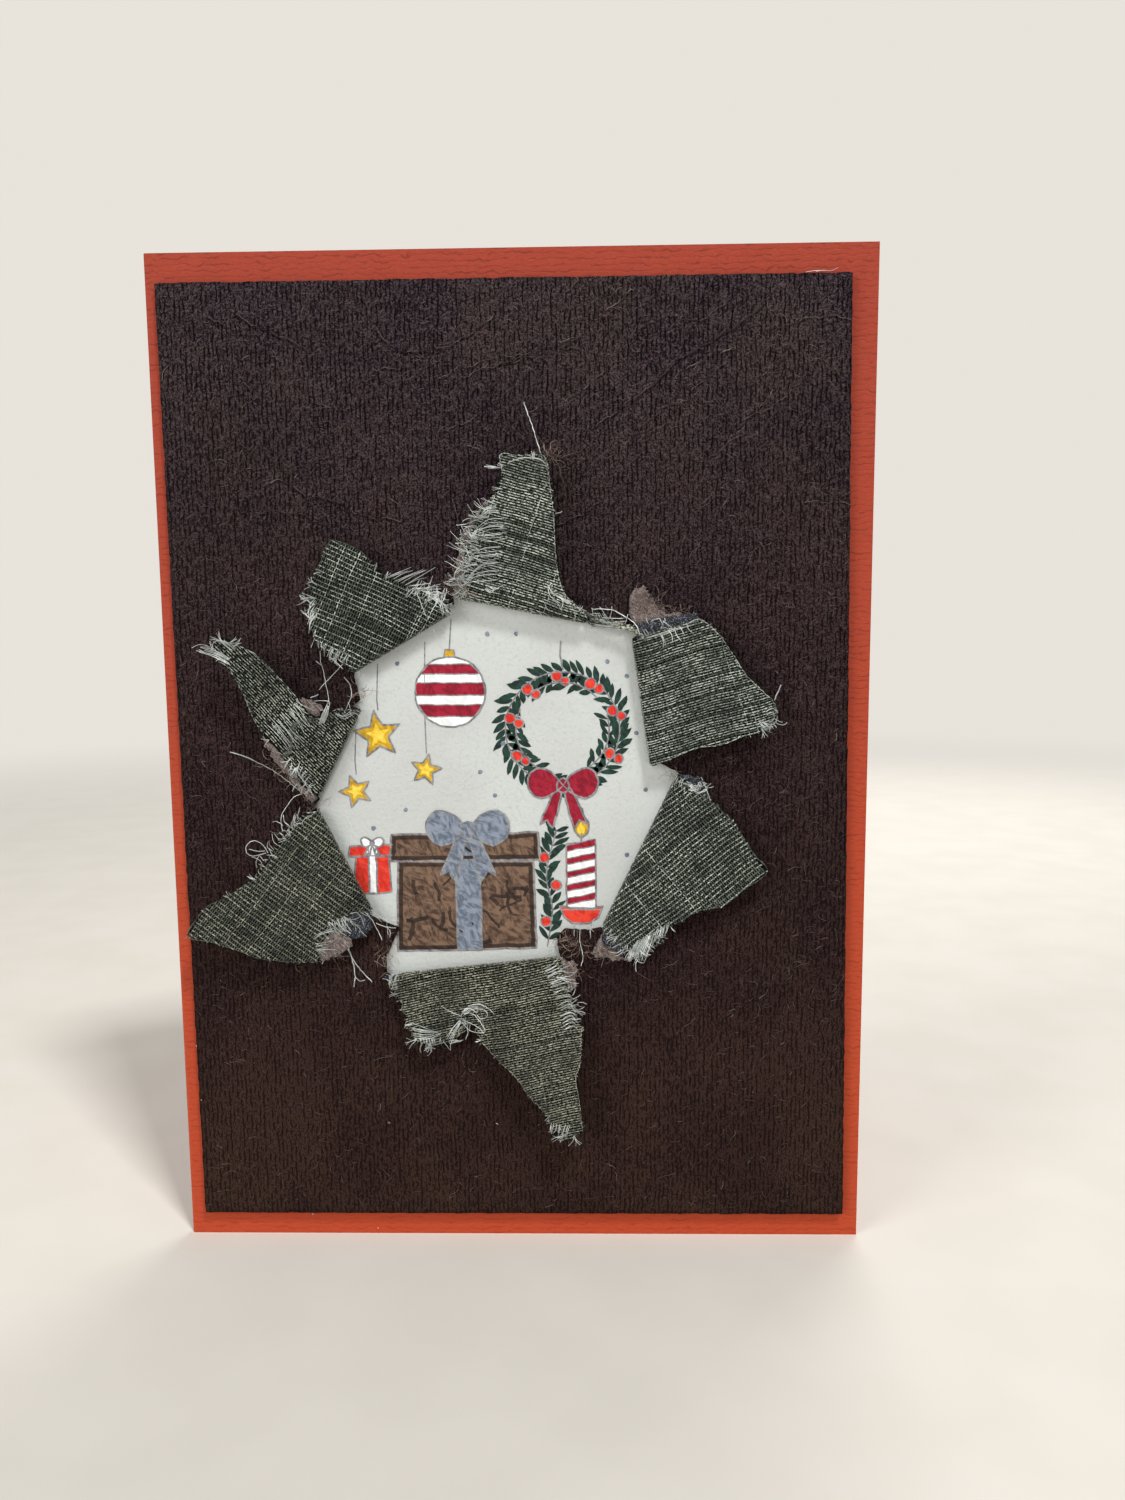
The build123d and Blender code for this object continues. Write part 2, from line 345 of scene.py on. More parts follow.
def inside(points, outline):
    """Which points lie inside a closed outline."""
    points, outline = np.asarray(points, float), np.asarray(outline, float)
    found = np.zeros(len(points), bool)
    for start, end in zip(outline, np.roll(outline, -1, axis=0)):
        spans = (start[1] > points[:, 1]) != (end[1] > points[:, 1])
        rise = end[1] - start[1] if end[1] != start[1] else 1e-12
        crossing = start[0] + (points[:, 1] - start[1]) * (end[0] - start[0]) / rise
        found ^= spans & (points[:, 0] < crossing)
    return found


def distance_to_line(points, line):
    """Signed distance of each point to a run of straight stretches, left of it positive."""
    best = np.full(len(points), 1e9)
    signed = np.zeros(len(points))
    for start, end in zip(line[:-1], line[1:]):
        arm = end - start
        share = np.clip(((points - start) @ arm) / (arm @ arm), 0, 1)
        off = points - (start + share[:, None] * arm)
        far = np.hypot(off[:, 0], off[:, 1])
        turn = np.sign(arm[0] * off[:, 1] - arm[1] * off[:, 0])
        closer = far < best
        best = np.where(closer, far, best)
        signed = np.where(closer, far * turn, signed)
    return signed


def resampled(outline, step, closed=True):
    """The outline with points no further apart than the step."""
    outline = np.asarray(outline, float)
    following = np.roll(outline, -1, axis=0) if closed else outline[1:]
    points = []
    for start, end in zip(outline, following):
        parts = max(1, math.ceil(np.linalg.norm(end - start) / step))
        points += [start + (end - start) * part / parts for part in range(parts)]
    if not closed:
        points.append(outline[-1])
    return np.array(points)


def filled(outline, holes, step, extra=None):
    """Points and triangles that fill an outline with holes, with a grid of the step inside, and
    the places of the outlines' own points among them."""
    loops = [np.asarray(loop, float) for loop in [outline, *holes]]
    low, high = loops[0].min(0), loops[0].max(0)
    grid = np.stack(np.meshgrid(
        np.arange(low[0] + step / 2, high[0], step),
        np.arange(low[1] + step / 2, high[1], step),
    ), -1).reshape(-1, 2)
    if extra is not None:
        grid = grid[apart(grid, extra, step * 0.7)]
        grid = np.concatenate([grid, extra])
    keep = inside(grid, loops[0])
    for hole in loops[1:]:
        keep &= ~inside(grid, hole)
    grid = grid[keep]
    margin = min(step, 0.8) * 0.45
    for loop in loops:
        grid = grid[apart(grid, resampled(loop, 0.5), margin)]
    edges, first = [], 0
    for loop in loops:
        count = len(loop)
        edges += [(first + k, first + (k + 1) % count) for k in range(count)]
        first += count
    points = np.concatenate([*loops, grid])
    result = delaunay_2d_cdt([Vector(p) for p in points.tolist()], edges, [], 0, 1e-6)
    places = np.array([tuple(p) for p in result[0]])
    triangles = np.array(result[2])
    centres = places[triangles].mean(1)
    keep = inside(centres, loops[0])
    for hole in loops[1:]:
        keep &= ~inside(centres, hole)
    found = {origin: k for k, origins in enumerate(result[3]) for origin in origins}
    rims, first = [], 0
    for loop in loops:
        rims.append([found[first + k] for k in range(len(loop))])
        first += len(loop)
    return places, triangles[keep], rims


def apart(points, others, gap):
    """Which points are further than the gap from all the others."""
    cells = {}
    for other in others:
        cells.setdefault(tuple(np.floor(other / gap).astype(int)), []).append(other)
    homes = np.floor(points / gap).astype(int)
    result = np.ones(len(points), bool)
    near = [(i, j) for i in (-1, 0, 1) for j in (-1, 0, 1)]
    for k, (column, row) in enumerate(homes):
        for i, j in near:
            group = cells.get((column + i, row + j))
            if group is not None and any(math.dist(points[k], other) < gap for other in group):
                result[k] = False
                break
    return result


def closed_plate(pile, front, triangles, rims, back, back_triangles, back_rims, kind):
    """Plate whose front and back have their own triangles and share their outlines."""
    count = len(front)
    used = set()
    for a, b, c in triangles.tolist():
        used.update(((a, b), (b, c), (c, a)))
    faces = triangles.tolist() + (back_triangles[:, ::-1] + count).tolist()
    for rim, other in zip(rims, back_rims):
        for k in range(len(rim)):
            here, there = rim[k - 1], rim[k]
            below, beyond = other[k - 1] + count, other[k] + count
            if (here, there) in used:
                faces.append([there, here, below, beyond])
            else:
                faces.append([here, there, beyond, below])
    pile.add(np.concatenate([front, back]), faces, kind)


def closed_sheet(pile, front, back, triangles, front_kind, back_kind):
    """Sheet between a front and a back layer of the same triangles, closed round its rim."""
    count = len(front)
    fronts = triangles.tolist()
    backs = (triangles[:, ::-1] + count).tolist()
    sides = dict.fromkeys(side for a, b, c in fronts for side in ((a, b), (b, c), (c, a)))
    walls = [(b, a, a + count, b + count) for a, b in sides if (b, a) not in sides]
    kinds = [front_kind] * len(fronts) + [back_kind] * (len(backs) + len(walls))
    pile.add(np.concatenate([front, back]), fronts + backs + walls, kinds)


def anticlockwise(points, triangles):
    """Triangles of flat points, turned over if they run clockwise."""
    arms = points[triangles[:, 1:]] - points[triangles[:, :1]]
    return triangles if np.cross(arms[:, 0], arms[:, 1]).sum() > 0 else triangles[:, ::-1]


class Petal:
    """A petal of the panel, rolled back at its fold. On it s runs along the fold from its middle,
    w is the way along the cloth from the panel round the roll, and lift is out of the cloth."""

    def __init__(self, name, facts):
        self.name = name
        self.facts = facts
        first, last = (np.array(end) for end in facts["fold"])
        self.middle = (first + last) / 2
        self.half = np.linalg.norm(last - first) / 2
        self.along = (last - first) / (2 * self.half)
        self.outward = np.array([-self.along[1], self.along[0]])
        self.tilt = math.radians(facts["tilt"])
        self.curl = math.radians(facts["curl"])
        self.roll_length = ROLL_RADIUS * (math.pi - self.tilt)
        self.brow = ROLL_RADIUS * math.pi / 2
        self.phase = 1.7 * len(name)
        self.ways = np.linspace(self.brow, self.roll_length + 60, 600)
        self.reaches, self.rises, _, _ = self.section(self.ways)

    def section(self, way):
        """Distance from the fold's brow, height and normal of the cloth at a way along it."""
        way = np.asarray(way, float)
        turn = -math.pi / 2 - np.minimum(way, self.roll_length) / ROLL_RADIUS
        roll_u = ROLL_RADIUS * (1 + np.cos(turn))
        roll_v = ROLL_RADIUS * (1 + np.sin(turn))
        run = np.maximum(way - self.roll_length, 0)
        lean = self.tilt + self.curl * run
        flap_u = (np.sin(lean) - math.sin(self.tilt)) / self.curl
        flap_v = (math.cos(self.tilt) - np.cos(lean)) / self.curl
        on_roll = way <= self.roll_length
        normal_u = np.where(on_roll, np.cos(turn), -np.sin(lean))
        normal_v = np.where(on_roll, np.sin(turn), np.cos(lean))
        return roll_u + flap_u, roll_v + flap_v, normal_u, normal_v

    def ripple(self, s, way):
        """Gentle waves of the loose part of the petal."""
        loose = np.clip((way - self.roll_length) / 12, 0, 1)
        wave = np.sin(s * 0.23 + self.phase) + 0.7 * np.sin(way * 0.19 + s * 0.11 + self.phase * 2)
        return self.facts["ripple"] * loose * wave

    def place(self, s, way, lift):
        """Places in the frame of points of the cloth."""
        s, way = np.asarray(s, float), np.asarray(way, float)
        u, v, normal_u, normal_v = self.section(way)
        v = v + self.ripple(s, way)
        face = self.middle + s[:, None] * self.along + (u + normal_u * lift)[:, None] * self.outward
        return on_face(face, v + normal_v * lift)

    def normals(self, way):
        """Directions out of the cloth."""
        _, _, normal_u, normal_v = self.section(way)
        flat = normal_u[:, None] * self.outward
        return np.stack([flat[:, 0], -normal_v, flat[:, 1]], 1)

    def from_photo(self, pixels):
        """Place on the cloth, s and w, of pixels of the photograph."""
        pixels = np.asarray(pixels, float)[:, :2]
        heights = np.full(len(pixels), 2 * ROLL_RADIUS)
        for _ in range(3):
            arms = photo_points(pixels, heights) - self.middle
            reach = np.clip(arms @ self.outward, 0, None)
            heights = np.interp(reach, self.reaches, self.rises)
        return np.stack([arms @ self.along, np.interp(reach, self.reaches, self.ways)], 1)

    def outline(self, start):
        """Outline of the petal on the cloth, from a way near the panel, with its frays."""
        edge = self.from_photo(self.facts["edge"])
        frays = [0.0, 0.0] + [point[2] for point in self.facts["edge"]]
        base = [(-self.half, start), (self.half, start)]
        return np.concatenate([base, edge]), np.array(frays)

    def thread_axes(self):
        """Directions on the cloth, s and w, of the level and the upright threads."""
        lean = math.radians(self.facts["skew"])
        turned = np.array([self.along, -self.outward])
        level = turned @ np.array([math.cos(lean), -math.sin(lean)])
        upright = turned @ np.array([math.sin(lean), math.cos(lean)])
        return level, upright

    def pulled(self, places):
        """Places on the cloth after the pulls that make its threads wander."""
        s, way = places[:, 0], places[:, 1]
        drift = 0.16 * np.sin(way * 0.31 + self.phase) + 0.05 * np.sin(way * 0.9 + s * 0.5)
        slide = 0.16 * np.sin(s * 0.27 - self.phase) + 0.05 * np.sin(s * 0.8 - way * 0.4)
        return places + np.stack([drift, slide], 1)

    def gathered(self, places):
        """Places of an upright thread, pushed to the far end of the opened band if it was in it."""
        if "opened" not in self.facts:
            return places
        level, upright = self.thread_axes()
        corners = self.from_photo(self.facts["opened"])
        ways, heights = corners @ level, corners @ upright
        first, last = ways[:2].mean(), ways[2:].mean()
        top, foot = heights[::2].mean(), heights[1::2].mean()
        share = ((places @ level).mean() - first) / (last - first)
        if not 0 < share < 1:
            return places
        across = np.clip((places @ upright - top) / (foot - top), 0, 1)
        bowed = last - (last - first) * (0.13 * (1 - share) + 0.42 * np.sin(across * math.pi))
        return places + (bowed - places @ level)[:, None] * level


class Front:
    """The front of the panel, with the same calls as a petal for what lies on it."""

    def from_photo(self, pixels):
        """Places on the face of pixels where loose threads cross the panel."""
        return photo_points(pixels, FRINGE_HEIGHT)

    def place(self, a, b, lift):
        """Places in the frame of points that stand out by a lift."""
        return on_face(np.stack([a, b], 1), lift)

    def normals(self, b):
        """Direction out of the panel."""
        return OUTWARD


FRONT = Front()


def lay(pile, surface, points, lifts, half_width, half_height, sides, kind):
    """Thread over a petal or the front, through points of it."""
    path = surface.place(points[:, 0], points[:, 1], lifts)
    tube(pile, path, surface.normals(points[:, 1]), half_width, half_height, sides, kind)


def spread_out(outline, amount):
    """Outline moved out by an amount."""
    outline = np.asarray(outline, float)
    before, after = np.roll(outline, 1, axis=0), np.roll(outline, -1, axis=0)
    area = 0.5 * np.sum(before[:, 0] * outline[:, 1] - outline[:, 0] * before[:, 1])
    run = unit(after - before) * np.sign(area)
    return outline + np.stack([run[:, 1], -run[:, 0]], 1) * amount


def colour(red, green, blue):
    """Scene colour of a colour as it shows on a screen, 0 to 255."""
    shares = [value / 255 for value in (red, green, blue)]
    return [s / 12.92 if s <= 0.04045 else ((s + 0.055) / 1.055) ** 2.4 for s in shares] + [1.0]


class Nodes:
    """Node tree, with short ways to add to it."""

    def __init__(self, tree):
        self.tree = tree

    def add(self, kind, **settings):
        """New node with its settings."""
        made = self.tree.nodes.new("ShaderNode" + kind)
        for key, value in settings.items():
            setattr(made, key, value)
        return made

    def join(self, output, target):
        """Link an output to an input, or set the input if it is a plain value."""
        if isinstance(output, bpy.types.NodeSocket):
            self.tree.links.new(output, target)
        else:
            target.default_value = output

    def combined(self, operation, first, second):
        """Two values put together."""
        made = self.add("Math", operation=operation)
        self.join(first, made.inputs[0])
        self.join(second, made.inputs[1])
        return made.outputs[0]

    def plus(self, first, second):
        """Sum of two values."""
        return self.combined("ADD", first, second)

    def minus(self, first, second):
        """First value less the second."""
        return self.combined("SUBTRACT", first, second)

    def times(self, first, second):
        """Product of two values."""
        return self.combined("MULTIPLY", first, second)

    def larger(self, first, second):
        """The larger of two values."""
        return self.combined("MAXIMUM", first, second)

    def background_rays(self):
        """1 for what is seen straight, in gloss or through glass, and 0 for light."""
        path = self.add("LightPath").outputs
        rays = self.larger(path["Is Camera Ray"], path["Is Glossy Ray"])
        return self.larger(rays, path["Is Transmission Ray"])

    def blended(self, share, first, second):
        """Two shaders mixed by a share."""
        made = self.add("MixShader")
        for target, output in zip(made.inputs, (share, first, second)):
            self.join(output, target)
        return made.outputs[0]


class Shading(Nodes):
    """Nodes of one material."""

    def __init__(self, name, roughness=0.8, sheen=0.0, specular=0.25):
        self.material = bpy.data.materials.new(name)
        self.material.use_nodes = True
        super().__init__(self.material.node_tree)
        self.surface = self.tree.nodes["Principled BSDF"]
        self.surface.inputs["Roughness"].default_value = roughness
        self.surface.inputs["Specular IOR Level"].default_value = specular
        if sheen:
            self.surface.inputs["Sheen Weight"].default_value = sheen
            self.surface.inputs["Sheen Roughness"].default_value = 0.5
        self.place = self.add("TexCoord").outputs["Object"]

    def stretched(self, size, drift=0.0, turn=0.0):
        """Object coordinates, turned by degrees, in steps of a size in millimetres."""
        place = self.place
        if turn:
            spun = self.add("Mapping")
            self.join(place, spun.inputs["Vector"])
            spun.inputs["Rotation"].default_value = (0, math.radians(turn), 0)
            place = spun.outputs["Vector"]
        scaled = self.add("Mapping")
        self.join(place, scaled.inputs["Vector"])
        scaled.inputs["Location"].default_value = (drift, drift, drift)
        scaled.inputs["Scale"].default_value = [1 / (side * MM) for side in size]
        return scaled.outputs["Vector"]

    def noise(self, size, detail=2.0, turn=0.0, drift=0.0, roughness=0.5):
        """Cloudy values whose spots have a size in millimetres."""
        made = self.add("TexNoise")
        self.join(self.stretched(size, drift, turn), made.inputs["Vector"])
        made.inputs["Scale"].default_value = 1.0
        made.inputs["Detail"].default_value = detail
        made.inputs["Roughness"].default_value = roughness
        return made.outputs["Fac"]

    def waves(self, direction, size, distortion, detail_scale):
        """Bands across a direction whose spacing is a size in millimetres. The texture makes 20
        radians of a wave in each step."""
        made = self.add("TexWave", wave_type="BANDS", bands_direction=direction)
        self.join(self.stretched([size * 20 / (math.pi * 2)] * 3), made.inputs["Vector"])
        made.inputs["Scale"].default_value = 1.0
        made.inputs["Distortion"].default_value = distortion
        made.inputs["Detail"].default_value = 2.0
        made.inputs["Detail Scale"].default_value = detail_scale
        return made.outputs["Fac"]

    def between(self, value, low, high):
        """Value spread so that low becomes 0 and high becomes 1."""
        made = self.add("MapRange", interpolation_type="SMOOTHSTEP")
        self.join(value, made.inputs["Value"])
        made.inputs["From Min"].default_value = low
        made.inputs["From Max"].default_value = high
        return made.outputs["Result"]

    def mix(self, share, first, second):
        """Two colours mixed by a share."""
        made = self.add("Mix", data_type="RGBA")
        self.join(share, made.inputs["Factor"])
        self.join(first, made.inputs[6])
        self.join(second, made.inputs[7])
        return made.outputs[2]

    def height(self):
        """Height over the floor, from 0 at the card's foot to 1 at its top."""
        split = self.add("SeparateXYZ")
        self.join(self.place, split.inputs["Vector"])
        return self.between(split.outputs["Z"], card_low.z, card_high.z)

    def paint(self, colours):
        """Colour of the surface."""
        self.join(colours, self.surface.inputs["Base Color"])

    def relief(self, value, depth):
        """Bumps of a depth in millimetres."""
        made = self.add("Bump")
        self.join(value, made.inputs["Height"])
        made.inputs["Strength"].default_value = 1.0
        made.inputs["Distance"].default_value = depth * MM
        self.join(made.outputs["Normal"], self.surface.inputs["Normal"])


# Painted shade of a small dent in the card's top edge: its middle along X and its half sizes, in
# millimetres
DENT_SHADE_X = 48.0
DENT_SHADE_SIZE = (1.8, 60.0, 0.55)
DENT_SHADE_DROP = 0.25


def red_cardstock():
    """Red-orange laid card with fine level ribs, pinker at the top. The grooves between the ribs are
    painted darker as shade; the card is painted darker at the top and lighter at the foot, to even
    out the lamps, which light the top more; and a dent in its top edge is painted dark as its shade.
    """
    s = Shading("red_cardstock", 0.72)
    ribs = s.waves("Z", 1.2, 6.0, 1.6)
    grooves = s.between(ribs, 0.0, 0.34)
    streaks = s.between(s.noise((2.6, 2.6, 0.8), 3.0, drift=3.0), 0.42, 0.64)
    fine = s.noise((0.6, 0.6, 0.25), 3.0)
    # Painted light and shade: darker towards the top and lighter towards the foot, to even out the lamps,
    # which light the top more. The pinker tint at the top is the card's own.
    base = s.mix(s.height(), colour(184, 69, 35), colour(149, 56, 40))
    dark = s.mix(s.height(), colour(146, 48, 26), colour(104, 36, 28))
    shade = s.times(s.minus(1.0, grooves), streaks)
    blotch = s.mix(s.between(fine, 0.3, 0.75), colour(152, 54, 28), colour(184, 76, 48))
    tone = s.mix(0.26, base, blotch)
    # The dent in the top edge is painted dark, as its shade.
    dent = s.add("VectorMath", operation="DISTANCE")
    s.join(s.stretched(DENT_SHADE_SIZE), dent.inputs[0])
    level = (card_high.z / MM - DENT_SHADE_DROP) / DENT_SHADE_SIZE[2]
    dent.inputs[1].default_value = (DENT_SHADE_X / DENT_SHADE_SIZE[0], 0, level)
    dent_shade = s.between(dent.outputs["Value"], 1.0, 0.4)
    shade_dimmed = s.mix(s.times(dent_shade, 0.6), tone, colour(72, 34, 28))
    s.paint(s.mix(s.times(shade, 0.60), shade_dimmed, dark))
    s.relief(s.plus(s.times(grooves, 0.7), s.times(fine, 0.5)), 0.05)
    return s.material


def cream_paper():
    """Cold-pressed watercolour paper, nearly white, with a grain of small dimples, which are painted
    a little darker as shade.
    """
    s = Shading("cream_paper", 0.85)
    grain = s.noise((0.75, 0.75, 0.75), 3.0, roughness=0.65)
    wide = s.noise((22.0, 22.0, 22.0), 1.0)
    tone = s.mix(s.between(wide, 0.35, 0.65), colour(194, 197, 194), colour(200, 204, 201))
    # Painted shade: the dimples of the grain are a little darker than the paper round them.
    s.paint(s.mix(s.between(grain, 0.25, 0.5), colour(188, 191, 188), tone))
    s.relief(grain, 0.18)
    return s.material


def brown_felt():
    """Dark brown nonwoven with upright dark dashes, light fibre specks and cooler patches, and painted
    shade that darkens it most at mid-height, round the window.
    """
    s = Shading("brown_felt", 0.95, specular=0.02)
    columns = s.between(s.waves("X", 0.95, 3.6, 1.2), 0.08, 0.50)
    long_dash = s.between(s.noise((0.9, 0.9, 2.2), 2.0), 0.45, 0.58)
    short_dash = s.between(s.noise((0.28, 0.28, 0.50), 1.0, drift=4.0), 0.40, 0.49)
    gaps = s.times(s.minus(1.0, columns), s.minus(0.92, long_dash))
    dash = s.larger(gaps, s.times(s.minus(1.0, short_dash), 0.76))
    rising = s.between(s.noise((1.1, 0.4, 0.18), 2.0, turn=38.0), 0.52, 0.66)
    falling = s.between(s.noise((1.1, 0.4, 0.18), 2.0, turn=-42.0, drift=7.0), 0.53, 0.67)
    level = s.between(s.noise((0.7, 0.4, 0.19), 2.0, drift=11.0), 0.50, 0.64)
    fibres = s.larger(s.larger(rising, falling), level)
    patches = s.between(s.noise((16.0, 16.0, 24.0), 2.0, drift=2.0), 0.36, 0.64)
    top = s.mix(patches, colour(42, 33, 42), colour(58, 47, 47))
    foot = s.mix(patches, colour(56, 41, 37), colour(67, 50, 43))
    # Painted shade: the felt is darkened most at mid-height, round the window, and less towards the top
    # and the foot.
    away = s.times(s.height(), s.minus(1.0, s.height()))
    tone = s.mix(s.times(away, 2.2), s.mix(s.height(), foot, top), colour(40, 26, 28))
    lit = s.mix(s.height(), colour(88, 62, 54), colour(112, 97, 99))
    share = s.plus(s.times(s.height(), 0.34), 0.22)
    speckled = s.mix(s.times(fibres, share), tone, lit)
    depth = s.plus(s.times(s.height(), 0.20), 0.77)
    s.paint(s.mix(s.times(dash, depth), speckled, colour(7, 3, 5)))
    pile = s.noise((0.45, 0.45, 0.8), 3.0, roughness=0.65)
    shape = s.minus(s.plus(pile, s.times(fibres, 0.6)), dash)
    s.relief(shape, 0.20)
    return s.material


def felt_reverse():
    """Loose mauve-brown felt where the weave has come off."""
    s = Shading("felt_reverse", 0.95, sheen=0.2)
    fuzz = s.noise((0.5, 0.5, 0.3), 4.0, turn=25.0, roughness=0.7)
    other = s.noise((1.2, 0.5, 0.2), 3.0, turn=-48.0, drift=3.0, roughness=0.7)
    hairs = s.between(other, 0.52, 0.62)
    base = s.mix(s.between(fuzz, 0.38, 0.62), colour(64, 51, 49), colour(134, 119, 114))
    s.paint(s.mix(s.times(hairs, 0.8), base, colour(188, 174, 165)))
    s.relief(s.plus(fuzz, hairs), 0.30)
    return s.material


def glue_coat():
    """Navy glue with pale specks, left where the weave has come off."""
    s = Shading("glue_coat", 0.6)
    blots = s.between(s.noise((0.8, 0.8, 0.8), 2.0, drift=3.0), 0.4, 0.6)
    specks = s.between(s.noise((0.26, 0.26, 0.26), 2.0, roughness=0.65), 0.55, 0.66)
    ground = s.mix(blots, colour(8, 9, 14), colour(38, 42, 54))
    s.paint(s.mix(specks, ground, colour(150, 156, 164)))
    s.relief(s.plus(specks, blots), 0.12)
    return s.material


def scrim_ground():
    """Dark green-black cloth that shows between the threads."""
    s = Shading("scrim_ground", 0.95, specular=0.05)
    mottle = s.noise((0.9, 0.9, 0.9), 2.0)
    s.paint(s.mix(s.between(mottle, 0.35, 0.65), colour(10, 12, 9), colour(24, 27, 21)))
    s.relief(mottle, 0.1)
    return s.material


def thread_material(name, dark, light, fleck, softness=0.14):
    """Cotton thread that changes from a dark to a light tone in flecks of a size along its way."""
    s = Shading(name, 0.75, sheen=0.1)
    tone = s.between(s.noise((fleck, fleck, fleck), 2.0), 0.5 - softness, 0.5 + softness)
    wide = s.between(s.noise((6.0, 6.0, 6.0), 1.0, drift=5.0), 0.42, 0.66)
    dimmed = [channel * 0.45 for channel in light[:3]] + [1.0]
    s.paint(s.mix(tone, dark, s.mix(s.times(wide, 0.8), light, dimmed)))
    s.relief(s.noise((0.12, 0.12, 0.12), 1.0), 0.02)
    return s.material


def gouache(name, dark, light):
    """Hand-laid paint with swirling brush strokes of a darker and a lighter tone."""
    s = Shading(name, 0.6)
    upright = s.noise((0.7, 1.0, 2.0), 3.0, turn=18.0, roughness=0.6)
    across = s.noise((2.2, 1.0, 0.8), 3.0, turn=-24.0, drift=6.0, roughness=0.6)
    pool = s.between(s.noise((3.2, 3.2, 3.2), 1.0, drift=9.0), 0.42, 0.58)
    strokes = s.mix(pool, s.between(upright, 0.36, 0.62), s.between(across, 0.36, 0.62))
    s.paint(s.mix(strokes, dark, light))
    s.relief(s.plus(upright, across), 0.05)
    return s.material


# Colour of the background on a screen
BACKGROUND = (232, 227, 219)

# Lamps: place, side, power and tint
LIGHTS = {
    "left": ((-1.20, -1.05, 0.62), 0.80, 14.0, (1.0, 0.99, 0.97)),
    "top": ((0.46, -0.78, 1.48), 0.22, 18.6, (1.0, 0.99, 0.98)),
    "fill": ((0.10, -1.40, 0.10), 0.90, 3.0, (0.98, 0.98, 1.0)),
    "back": ((0.30, 0.65, 0.55), 0.60, 3.8, (1.0, 0.98, 0.95)),
}
AMBIENT_TINT = (0.93, 0.96, 1.0, 1)
AMBIENT_POWER = 0.22
FLOOR_SIZE = 3.0


def pale_floor():
    """Pale floor that keeps shadows near the card and melts into the background far away."""
    s = Shading("pale_floor", 0.7)
    grain = s.noise((30.0, 30.0, 30.0), 2.0)
    s.paint(s.mix(s.between(grain, 0.3, 0.7), colour(221, 216, 206), colour(225, 220, 211)))
    glow = s.add("Emission")
    glow.inputs["Color"].default_value = colour(*BACKGROUND)
    far = s.add("VectorMath", operation="LENGTH")
    s.join(s.place, far.inputs[0])
    share = s.between(far.outputs["Value"], 0.35, 1.1)
    seen = s.blended(s.times(share, s.background_rays()), s.surface.outputs[0], glow.outputs[0])
    s.join(seen, s.tree.nodes["Material Output"].inputs["Surface"])
    return s.material


def make_stage():
    """Floor, background and lights."""
    bpy.context.scene.view_settings.view_transform = "Standard"
    corners = [(x * FLOOR_SIZE, y * FLOOR_SIZE, 0) for x, y in ((-1, -1), (1, -1), (1, 1), (-1, 1))]
    mesh = bpy.data.meshes.new("floor")
    mesh.from_pydata(corners, [], [(0, 1, 2, 3)])
    mesh.materials.append(pale_floor())
    floor = bpy.data.objects.new("floor", mesh)
    floor.location.z = card_low.z
    bpy.context.collection.objects.link(floor)

    world = bpy.data.worlds.new("room")
    world.use_nodes = True
    bpy.context.scene.world = world
    room = Nodes(world.node_tree)
    ambient = room.tree.nodes["Background"]
    ambient.inputs["Color"].default_value = AMBIENT_TINT
    ambient.inputs["Strength"].default_value = AMBIENT_POWER
    seen = room.add("Background")
    seen.inputs["Color"].default_value = colour(*BACKGROUND)
    blend = room.blended(room.background_rays(), ambient.outputs[0], seen.outputs[0])
    room.join(blend, room.tree.nodes["World Output"].inputs["Surface"])

    for name, settings in LIGHTS.items():
        add_light(name, *settings)


def add_light(name, place, size, power, tint):
    """Square soft light that looks at the middle of the card."""
    lamp = bpy.data.lights.new(name, "AREA")
    lamp.size = size
    lamp.energy = power
    lamp.color = tint
    light = bpy.data.objects.new(name, lamp)
    light.location = place
    target = Vector((WINDOW_X, CARD_FRONT, WINDOW_Z))
    light.rotation_euler = (target - light.location).to_track_quat("-Z", "Y").to_euler()
    bpy.context.collection.objects.link(light)


def make_camera():
    """Camera at the photograph's place and angle."""
    right, up, forward = camera_axes()
    data = bpy.data.cameras.new("camera")
    data.sensor_width = SENSOR
    data.lens = SENSOR * FOCAL_PIXELS / max(PHOTO_SIZE)
    data.clip_start = 0.005
    turn = Matrix((right, up, -forward)).transposed().to_4x4()
    camera = bpy.data.objects.new("camera", data)
    camera.matrix_world = Matrix.Translation(camera_position()) @ turn
    bpy.context.collection.objects.link(camera)
    bpy.context.scene.camera = camera


def crease_lines():
    """Creases as lines on the face, each with its depth."""
    lines = []
    for depth, pixels in CREASES:
        line = smooth_path(photo_points(pixels, FABRIC), 0.6)
        steps = np.arange(len(line))
        line[:, 1] += 0.22 * np.sin(steps * 0.8 + depth * 50) + 0.12 * np.sin(steps * 2.1)
        lines.append((depth, line))
    return lines


def crease_relief(points, lines):
    """Height of the creases and waves of the panel at points of its face."""
    height = 0.10 * np.sin(points[:, 0] * 0.11 + 1.0) * np.sin(points[:, 1] * 0.07)
    for depth, line in lines:
        box = np.all((points > line.min(0) - 2) & (points < line.max(0) + 2), axis=1)
        near = distance_to_line(points[box], line)
        height[box] += depth * (
            1.6 * np.exp(-(((near - 0.32) / 0.22) ** 2))
            - 2.0 * np.exp(-((near / 0.2) ** 2))
            + 0.8 * np.exp(-(((near + 0.45) / 0.3) ** 2))
        )
    return height


def panel_corners():
    """Corners of the panel, anticlockwise from the lower left, read at the sides of the card."""
    left = (card_low.x - WINDOW_X) / MM
    right = (card_high.x - WINDOW_X) / MM
    bottom = (felt_low.z - WINDOW_Z) / MM
    top = (felt_high.z - WINDOW_Z) / MM
    return [(left + LEFT_BORDER[0], bottom), (right - RIGHT_BORDER[0], bottom),
            (right - RIGHT_BORDER[1], top), (left + LEFT_BORDER[1], top)]


